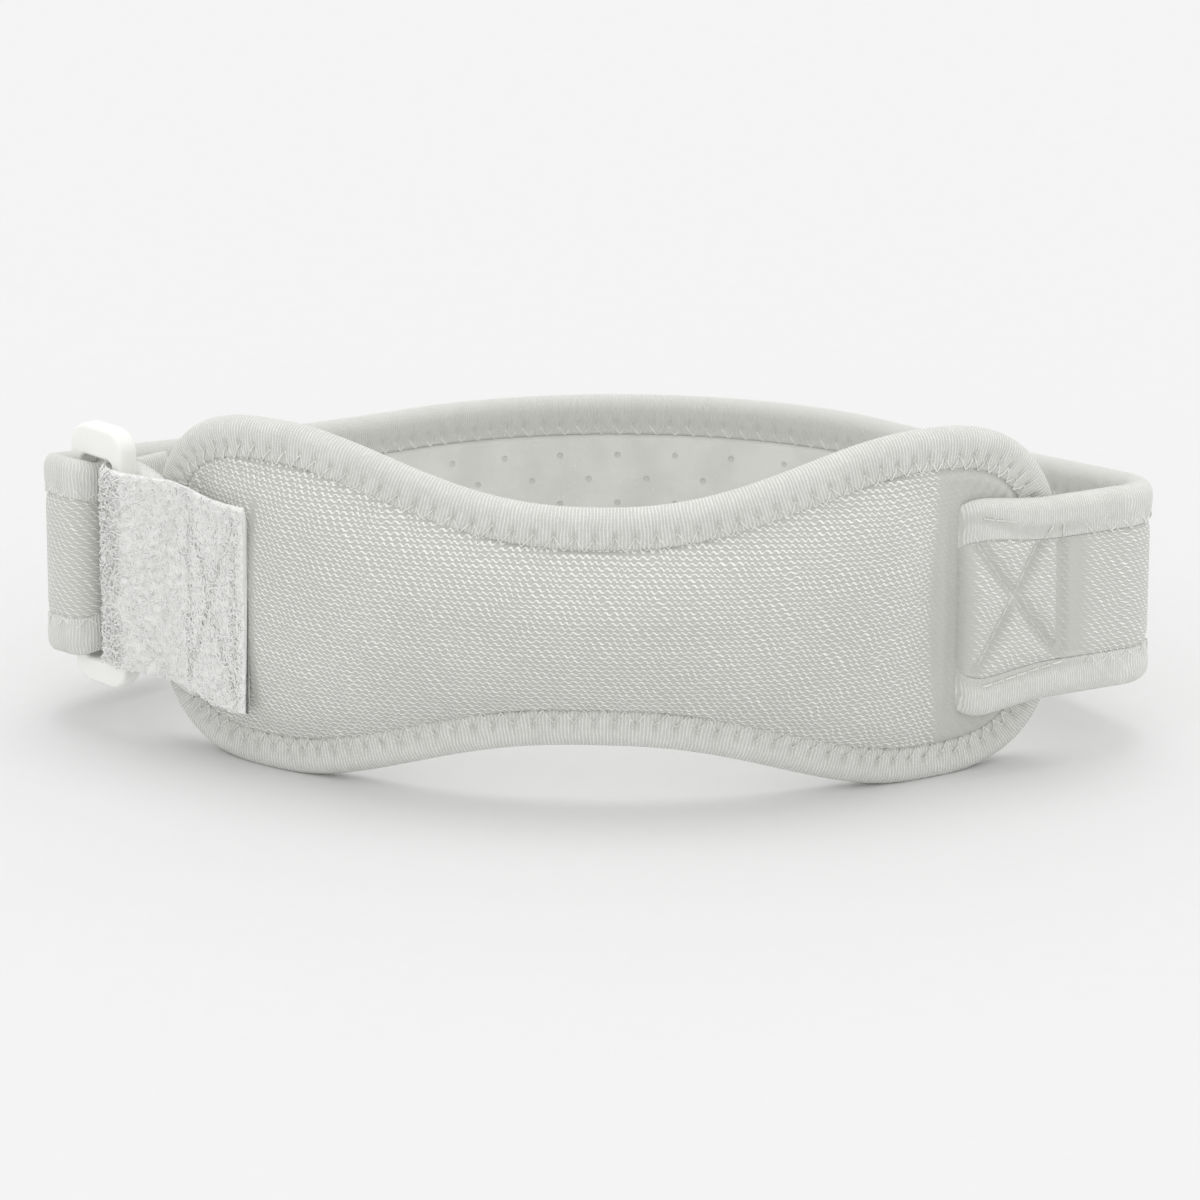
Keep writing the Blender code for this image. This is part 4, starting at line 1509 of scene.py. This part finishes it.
    def drop(self, along: Array, depth: Array, ripple: Array, outward: Array,
             side: Side) -> Array:
        """How far a binding's skin sinks at its stitches, in the box and at its inner edge."""
        sewn = self.sewn(along) * outward
        at_stitch = self.seam.dimples(depth, ripple) * (1.0 - sewn)
        in_box = self.crease_depth * self.crease(along, depth, side) * sewn
        room = self.section.half - self.section.inner - self.tape_left
        return np.minimum(at_stitch + in_box + self.seam.fall(depth), room)

    def binding(self, side: Side, table: Array) -> Carry:
        """Give the carry of the top or the bottom binding over a section table."""
        loop = self.loop

        def carry(u: Array, v: Array) -> tuple[Array, Array]:
            """Carry the binding's grid: along the strap, and round its own section."""
            along = u * loop.strap.length
            depth, offset, measure = row_at(table, v)
            ripple = 0.5 + 0.5 * np.cos(2 * np.pi * along / self.stitch_pitch)
            outward = offset > 0.0
            drop = self.drop(along, depth, ripple, outward, side)
            room = np.maximum(np.abs(offset) - self.section.inner, 0.0)
            offset = offset - np.sign(offset) * np.minimum(drop, room)
            height = side.value * (self.width(along) / 2 - depth)
            place = loop.on_strap(along, height, self.settled(along, offset))
            creased = self.crease(along, depth, side) * self.sewn(along)
            # painted shade below 0 in the box's creases on the outer side; painted light, 1, on the
            # inner side
            pressed = np.where(outward, -creased, 1.0)
            return place, np.stack([along, measure, pressed], axis=-1)

        return carry

    def edge_stitches(self, side: Side, face: float) -> list[Array]:
        """Zigzag thread along a binding's inner edge on one face of the strap."""
        loop = self.loop
        outside = face > 0.0
        begin = self.stitches_from[0 if outside else 1]
        reach = loop.strap.length - self.stitches_short - begin
        count = int(reach / self.stitch_pitch * 2)
        share = np.linspace(0.0, 1.0, 4)
        outward = np.full(4, outside)
        lines = []
        for i in range(count):
            along = begin + (i + share) * self.stitch_pitch / 2
            fall = leg(share, i)
            run = loop.binding_width - self.seam.end_gap - self.seam.at
            depth = self.seam.at + run * fall
            ripple = 0.5 + 0.5 * np.cos(np.pi * fall)
            drop = self.drop(along, depth, ripple, outward, side)
            lift = self.seam.arch(i, share) if outside else self.inner_lift
            offset = face * (loop.strap_binding_half - drop + lift)
            height = side.value * (self.width(along) / 2 - depth)
            lines.append(loop.on_strap(along, height, self.settled(along, offset)))
        return lines

    def box_stitches(self) -> list[Array]:
        """The threads of the box stitch, down in their grooves."""
        loop = self.loop
        lines = []
        for run in self.box.runs():
            along, height = run.T
            arch = self.box_arch * np.sin(np.pi * np.linspace(0.0, 1.0, len(run)))
            face = loop.strap_half + self.face_rise - self.sink(along, height)
            depth = self.width(along) / 2 - np.abs(height)
            tape = self.section.inner + self.box_on_tape
            offset = np.where(depth < loop.binding_width, tape, face) + arch
            lines.append(loop.on_strap(along, height, self.settled(along, offset)))
        return lines

    def build(self) -> None:
        """Build and dress the strap's pieces."""
        wardrobe = self.wardrobe
        for name, outer, bare, finish, slot in (
                ("strap_face", True, self.face_rows, wardrobe.strap_knit, "strap_knit"),
                ("strap_lining", False, self.lining_rows, wardrobe.lining, "lining")):
            table = self.layer_table(bare)
            piece = self.bench.grid(name + "_cloth", self.columns, len(table) - 1,
                                    self.layer(outer, table))
            self.dress(piece, finish, slot, name)
        table = self.section.profile(self.tape_rows, self.tape_rows)
        for side in Side:
            edge = side.name.lower()
            piece = self.bench.grid(f"strap_binding_{edge}_tape", self.columns, len(table) - 1,
                                    self.binding(side, table))
            self.dress(piece, wardrobe.strap_rib, "strap_binding", f"strap_binding_{edge}")
            lines = self.edge_stitches(side, 1.0) + self.edge_stitches(side, -1.0)
            thread = self.bench.threads(f"strap_stitches_{edge}", lines, self.thread_radius)
            self.dress(thread, wardrobe.thread, "strap_binding")
        thread = self.bench.threads("box_stitch", self.box_stitches(), self.thread_radius)
        self.dress(thread, wardrobe.thread, "strap_knit")


@dataclass
class Ring(Part):
    """The moulded rectangular ring."""

    height: float = 0.0424
    top_bar: float = 0.0050
    low_bar: float = 0.0041
    corner: float = 0.0036
    slot_corner: float = 0.0013
    middle: float = 0.0302
    edge: float = 0.0007
    per_corner: int = 10
    per_edge: int = 5

    def frame(self, width: float, height: float, corner: float) -> Array:
        """Walk round a rectangle with round corners, closed, the same count for any size."""
        points = []
        for quarter in range(4):
            side_x = 1.0 if quarter in (0, 3) else -1.0
            side_z = 1.0 if quarter in (0, 1) else -1.0
            for i in range(self.per_corner + 1):
                angle = math.pi / 2 * (quarter + i / self.per_corner)
                points.append((side_x * (width / 2 - corner) + corner * math.cos(angle),
                               side_z * (height / 2 - corner) + corner * math.sin(angle)))
        return np.array(points + points[:1])

    def section(self) -> Array:
        """Walk round a bar's section.

        Returns:
            Rows of 1 on the slot's side or 0 on the outer side, the distance in from that
            side, and the height above the ring's middle plane.
        """
        turn = np.pi / 2 * np.arange(self.per_edge + 1) / self.per_edge
        near = self.edge * (1.0 - np.cos(turn))
        up = self.loop.ring_thickness / 2 - self.edge * (1.0 - np.sin(turn))
        rows = []
        for inner, face, order in ((0.0, 1.0, 1), (1.0, 1.0, -1), (1.0, -1.0, 1), (0.0, -1.0, -1)):
            rows += [(inner, a, face * b) for a, b in zip(near[::order], up[::order])]
        return np.array(rows + rows[:1])

    def carry(self, u: Array, v: Array) -> tuple[Array, Array]:
        """Carry the ring's grid: round the frame, and round its section."""
        loop = self.loop
        outer = self.frame(loop.ring_width, self.height, self.corner)
        slot_width = loop.ring_width - 2 * loop.ring_side_bar
        slot = self.frame(slot_width, self.height - self.top_bar - self.low_bar, self.slot_corner)
        slot[:, 1] += (self.low_bar - self.top_bar) / 2
        index = np.rint(u * (len(outer) - 1)).astype(int)
        across = slot[index] - outer[index]
        table = self.section()
        inner, near, up = table[np.rint(v * (len(table) - 1)).astype(int)].T
        gone = near / np.linalg.norm(across, axis=1)
        flat = outer[index] + across * np.where(inner > 0.5, 1.0 - gone, gone)[:, None]
        plan = loop.on_plan(loop.ring_middle - flat[:, 0], loop.ring_offset + up)
        place = loop.stand(plan, self.middle + flat[:, 1])
        return place, np.column_stack([flat, np.zeros(len(flat))])

    def build(self) -> None:
        """Build and dress the ring."""
        rows = 4 * (self.per_edge + 1)
        columns = 4 * (self.per_corner + 1)
        ring = self.bench.grid("ring_buckle_moulded", columns, rows, self.carry)
        self.dress(ring, self.wardrobe.plastic, "ring_plastic", "ring_buckle")


@dataclass
class Tape(Part):
    """The fuzzy closure tape: backing, looped pile and its box stitch."""

    # its line on the loop
    width: float = 0.0324
    free_width: float = 0.0337
    sewn_height: float = 0.0263
    ring_height: float = 0.0297
    free_height: float = 0.02725
    free_end: float = 0.0536
    sewn_end: float = 0.0655
    settle_from: float = 0.0012
    settle_to: float = 0.0105
    rest_share: float = 0.76
    end_dip: float = 0.0009
    end_dip_run: float = 0.0080
    sewn_past_bar: float = 0.0040
    turn_steps: int = 32
    run_steps: int = 24
    smoothing: int = 6
    # the backing
    step: float = 0.0003
    front_rows: int = 84
    back_rows: int = 12
    edge_round: float = 0.0006
    edge_share: float = 0.35
    roughness: float = 0.00014
    rough_waves: tuple[float, ...] = (5200.0, 4100.0, 4700.0, 3900.0)
    rough_sways: tuple[float, float] = (3.0, 2.0)
    dent: float = 0.00035
    # the pile
    seed: int = 7
    fibres: int = 5200
    fibre_radius: float = 0.00010
    fibre_length: tuple[float, float] = (0.0008, 0.0018)
    fibre_rise: tuple[float, float] = (0.00006, 0.00030)
    fibre_curl: float = 0.0006
    fibre_root: float = 0.00005
    clear_edge: float = 0.0003
    clear_end: float = 0.0004
    clear_stitch: float = 0.0003
    shaggy_from: float = 0.0055
    shaggy_to: float = 0.0020
    shaggy_rise: float = 0.0009
    # the stitches
    thread_radius: float = 0.00011
    thread_arch: float = 0.00014
    thread_root: float = 0.00018
    box: BoxStitch = field(default_factory=lambda: BoxStitch((
        ((0.0120, -0.0145), (0.0120, 0.0145)),
        ((0.0120, -0.0140), (0.0020, 0.0140)),
        ((0.0120, 0.0140), (0.0020, -0.0140)),
        ((0.0020, -0.0145), (0.0020, 0.0145)),
    ), width=0.0006))

    def __post_init__(self) -> None:
        """Lay out the tape's plan line."""
        self.line, self.even, self.turn_from, self.turn_to = self.plan()

    def plan(self) -> tuple[Array, Array, float, float]:
        """Work out the tape's plan line.

        Returns:
            Plan points at even steps, their distance along the tape, and the distances
            where its turn round the ring's bar begins and ends.
        """
        loop = self.loop
        turn = loop.bar_turn + loop.tape_half
        bar = loop.ring_middle + loop.bar_reach
        upper = loop.ring_offset + turn
        over_sewn = loop.tape_lower + 2 * loop.tape_half + loop.gap
        rest = loop.margin_half + loop.bulge_front * self.rest_share + loop.tape_half + 2 * loop.gap
        angle = np.pi * np.linspace(0.0, 1.0, self.turn_steps + 1)
        share = np.linspace(0.0, 1.0, self.run_steps + 1)[1:]
        settle = bar + self.settle_from + (self.settle_to - self.settle_from) * share
        free = bar + self.settle_to + (-self.free_end - bar - self.settle_to) * share
        along = np.concatenate([[-self.sewn_end, bar + self.sewn_past_bar],
                                bar - turn * np.sin(angle), settle, free])
        offset = np.concatenate([[loop.tape_lower] * 2, loop.ring_offset - turn * np.cos(angle),
                                 upper + (over_sewn - upper) * eased(share),
                                 over_sewn + (rest - over_sewn) * eased(share)])
        spots = loop.on_plan(along, offset)
        gone = distances(spots)
        even = np.linspace(0.0, gone[-1], int(gone[-1] / self.step) + 1)
        line = read_line(spots, gone, even)
        for _ in range(self.smoothing):
            line[1:-1] = (line[:-2] + 2 * line[1:-1] + line[2:]) / 4
        return line, even, float(gone[2]), float(gone[2 + self.turn_steps])

    def settling(self, along: Array) -> Array:
        """0 up to the ring, easing to 1 at the free end."""
        return eased((along - self.turn_to) / (self.even[-1] - self.turn_to))

    def width_at(self, along: Array) -> Array:
        """Width of the tape at a distance along it."""
        return self.width + (self.free_width - self.width) * self.settling(along)

    def on_tape(self, along: Array, height: Array, offset: Array) -> Array:
        """Carry spots of the flat tape on to the loop, offset outward of its turn."""
        ahead = np.gradient(self.line, axis=0)
        ahead /= np.linalg.norm(ahead, axis=1)[:, None]
        spot = read_line(self.line, self.even, along)
        way = read_line(ahead, self.even, along)
        side = np.stack([way[:, 1], -way[:, 0]], axis=-1)
        rise = self.ring_height - self.sewn_height
        middle = self.sewn_height + rise * eased(along / self.turn_from)
        middle = middle + (self.free_height - self.ring_height) * self.settling(along)
        to_end = along - self.even[-1] + self.end_dip_run
        pressed = self.end_dip * eased(to_end / self.end_dip_run)
        return self.loop.stand(spot + side * (offset - pressed)[:, None], middle + height)

    def rough(self, along: Array, height: Array) -> Array:
        """Unevenness of the pile's base."""
        waves, sways = self.rough_waves, self.rough_sways
        bumps = np.sin(along * waves[0] + sways[0] * np.sin(height * waves[1]))
        rows = np.cos(height * waves[2] + sways[1] * np.sin(along * waves[3]))
        return self.roughness * (bumps * rows)

    def carry(self, u: Array, v: Array) -> tuple[Array, Array]:
        """Carry the backing's grid: along the tape, and round its section."""
        rows = self.front_rows + self.back_rows
        index = np.rint(v * rows).astype(int)
        front = index <= self.front_rows
        across = np.where(front, index / self.front_rows, (rows - index) / self.back_rows)
        along = u * self.even[-1]
        width = self.width_at(along)
        height = (across - 0.5) * width
        near_edge = np.clip((0.5 - np.abs(across - 0.5)) * width / self.edge_round, 0.0, 1.0)
        rounded = np.sqrt(1.0 - (1.0 - near_edge) ** 2)
        half = self.loop.tape_half * (self.edge_share + (1.0 - self.edge_share) * rounded)
        dent = self.dent * self.box.groove(self.even[-1] - along, height)
        offset = np.where(front, half + self.rough(along, height) - dent, -half)
        place = self.on_tape(along, height, offset)
        return place, np.stack([along, height, np.zeros_like(along)], axis=-1)

    def pile(self) -> list[Array]:
        """Small curled fibres scattered over the tape's outer face, longest at the turn."""
        chance = np.random.default_rng(self.seed)
        end = self.even[-1]
        share = np.linspace(-0.5, 0.5, 5)
        lines = []
        for _ in range(self.fibres):
            along = chance.uniform(self.turn_to - self.shaggy_from, end - self.clear_end)
            half_width = float(self.width_at(np.array([along]))[0]) / 2
            height = chance.uniform(-1.0, 1.0) * (half_width - self.clear_edge)
            angle = chance.uniform(0.0, 2 * np.pi)
            curl = chance.uniform(-self.fibre_curl, self.fibre_curl)
            length, rise = chance.uniform(*self.fibre_length), chance.uniform(*self.fibre_rise)
            to_stitch = self.box.nearest(np.array([end - along]), np.array([height]))[0]
            if to_stitch < self.clear_stitch:
                continue
            if along < self.turn_to + self.shaggy_to:
                rise += chance.uniform(0.0, self.shaggy_rise)
            bow = curl * np.cos(np.pi * share * 2.0)
            a = np.minimum(along + length * share * math.cos(angle) - bow * math.sin(angle), end)
            h = height + length * share * math.sin(angle) + bow * math.cos(angle)
            h = np.clip(h, -half_width, half_width)
            up = self.loop.tape_half - self.fibre_root + rise * np.cos(np.pi * share)
            lines.append(self.on_tape(a, h, up))
        return lines

    def stitches(self) -> list[Array]:
        """The threads of the tape's box stitch."""
        lines = []
        for run in self.box.runs():
            from_free, height = run.T
            arch = self.thread_arch * np.sin(np.pi * np.linspace(0.0, 1.0, len(run)))
            offset = self.loop.tape_half - self.thread_root + arch
            lines.append(self.on_tape(self.even[-1] - from_free, height, offset))
        return lines

    def build(self) -> None:
        """Build and dress the tape's pieces."""
        wardrobe = self.wardrobe
        rows = self.front_rows + self.back_rows
        backing = self.bench.grid("closure_tape_backing", len(self.even) - 1, rows, self.carry)
        self.dress(backing, wardrobe.backing, "fuzzy_tape", "closure_tape")
        pile = self.bench.threads("closure_tape_pile", self.pile(), self.fibre_radius, sides=0)
        self.dress(pile, wardrobe.pile, "fuzzy_tape")
        thread = self.bench.threads("closure_tape_stitches", self.stitches(), self.thread_radius)
        self.dress(thread, wardrobe.thread, "fuzzy_tape")


@dataclass
class Studio:
    """The pale floor, the soft light and the camera."""

    floor_size: float = 8.0
    floor_low: Colour = (0.755, 0.755, 0.755)
    floor_high: Colour = (0.770, 0.770, 0.770)
    floor_speck: float = 260.0
    floor_roughness: float = 0.95
    aim: tuple[float, float, float] = (0.001584, -0.033236, 0.02733)
    azimuth: float = math.radians(3.0)
    elevation: float = math.radians(20.5)
    distance: float = 1.0
    lens: float = 193.5
    sensor: float = 36.0
    clip: float = 0.01
    world: float = 1.00
    sun: float = 0.62
    sun_way: tuple[float, float, float] = (0.03, 0.20, 1.0)
    sun_angle: float = math.radians(36.0)

    def floor(self) -> None:
        """Lay a pale floor."""
        bm = bmesh.new()
        bmesh.ops.create_grid(bm, x_segments=8, y_segments=8, size=self.floor_size / 2)
        mesh = bpy.data.meshes.new("floor")
        bm.to_mesh(mesh)
        bm.free()
        floor = bpy.data.objects.new("floor", mesh)
        bpy.context.scene.collection.objects.link(floor)
        made = bpy.data.materials.new("pale floor")
        made.use_nodes = True
        graph = Graph(made.node_tree)
        shader = made.node_tree.nodes["Principled BSDF"]
        speck = graph.noise(graph.place(), self.floor_speck, 3.0)
        graph.feed(shader.inputs["Base Color"], graph.mix(speck, self.floor_low, self.floor_high))
        shader.inputs["Roughness"].default_value = self.floor_roughness
        shader.inputs["Specular IOR Level"].default_value = 0.0
        mesh.materials.append(made)

    def light(self) -> None:
        """Light it softly from all round, and a little more from above."""
        world = bpy.data.worlds.new("studio")
        bpy.context.scene.world = world
        world.use_nodes = True
        back = world.node_tree.nodes["Background"]
        back.inputs["Color"].default_value = (1.0, 1.0, 1.0, 1.0)
        back.inputs["Strength"].default_value = self.world
        sun = bpy.data.lights.new("soft light", "SUN")
        sun.energy = self.sun
        sun.angle = self.sun_angle
        lamp = bpy.data.objects.new("soft light", sun)
        lamp.rotation_euler = Vector(self.sun_way).to_track_quat("Z", "Y").to_euler()
        bpy.context.scene.collection.objects.link(lamp)
        bpy.context.scene.view_settings.view_transform = "Standard"

    def camera(self) -> None:
        """Set the camera at the photograph's angle."""
        lens = bpy.data.cameras.new("camera")
        lens.lens = self.lens
        lens.sensor_width = self.sensor
        lens.clip_start = self.clip
        eye = bpy.data.objects.new("camera", lens)
        level = math.cos(self.elevation)
        back = Vector((math.sin(self.azimuth) * level, -math.cos(self.azimuth) * level,
                       math.sin(self.elevation)))
        eye.location = Vector(self.aim) + back * self.distance
        eye.rotation_euler = back.to_track_quat("Z", "Y").to_euler()
        bpy.context.scene.collection.objects.link(eye)
        bpy.context.scene.camera = eye

    def build(self) -> None:
        """Set up the whole studio."""
        self.floor()
        self.light()
        self.camera()


def main() -> None:
    """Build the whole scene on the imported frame."""
    logging.basicConfig(level=logging.INFO, format="%(name)s %(message)s")
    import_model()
    shared = (Loop(), Bench(), Wardrobe())
    for part in (Pad, Strap, Ring, Tape):
        part(*shared).build()
    Studio().build()


if __name__ == "__main__":
    main()
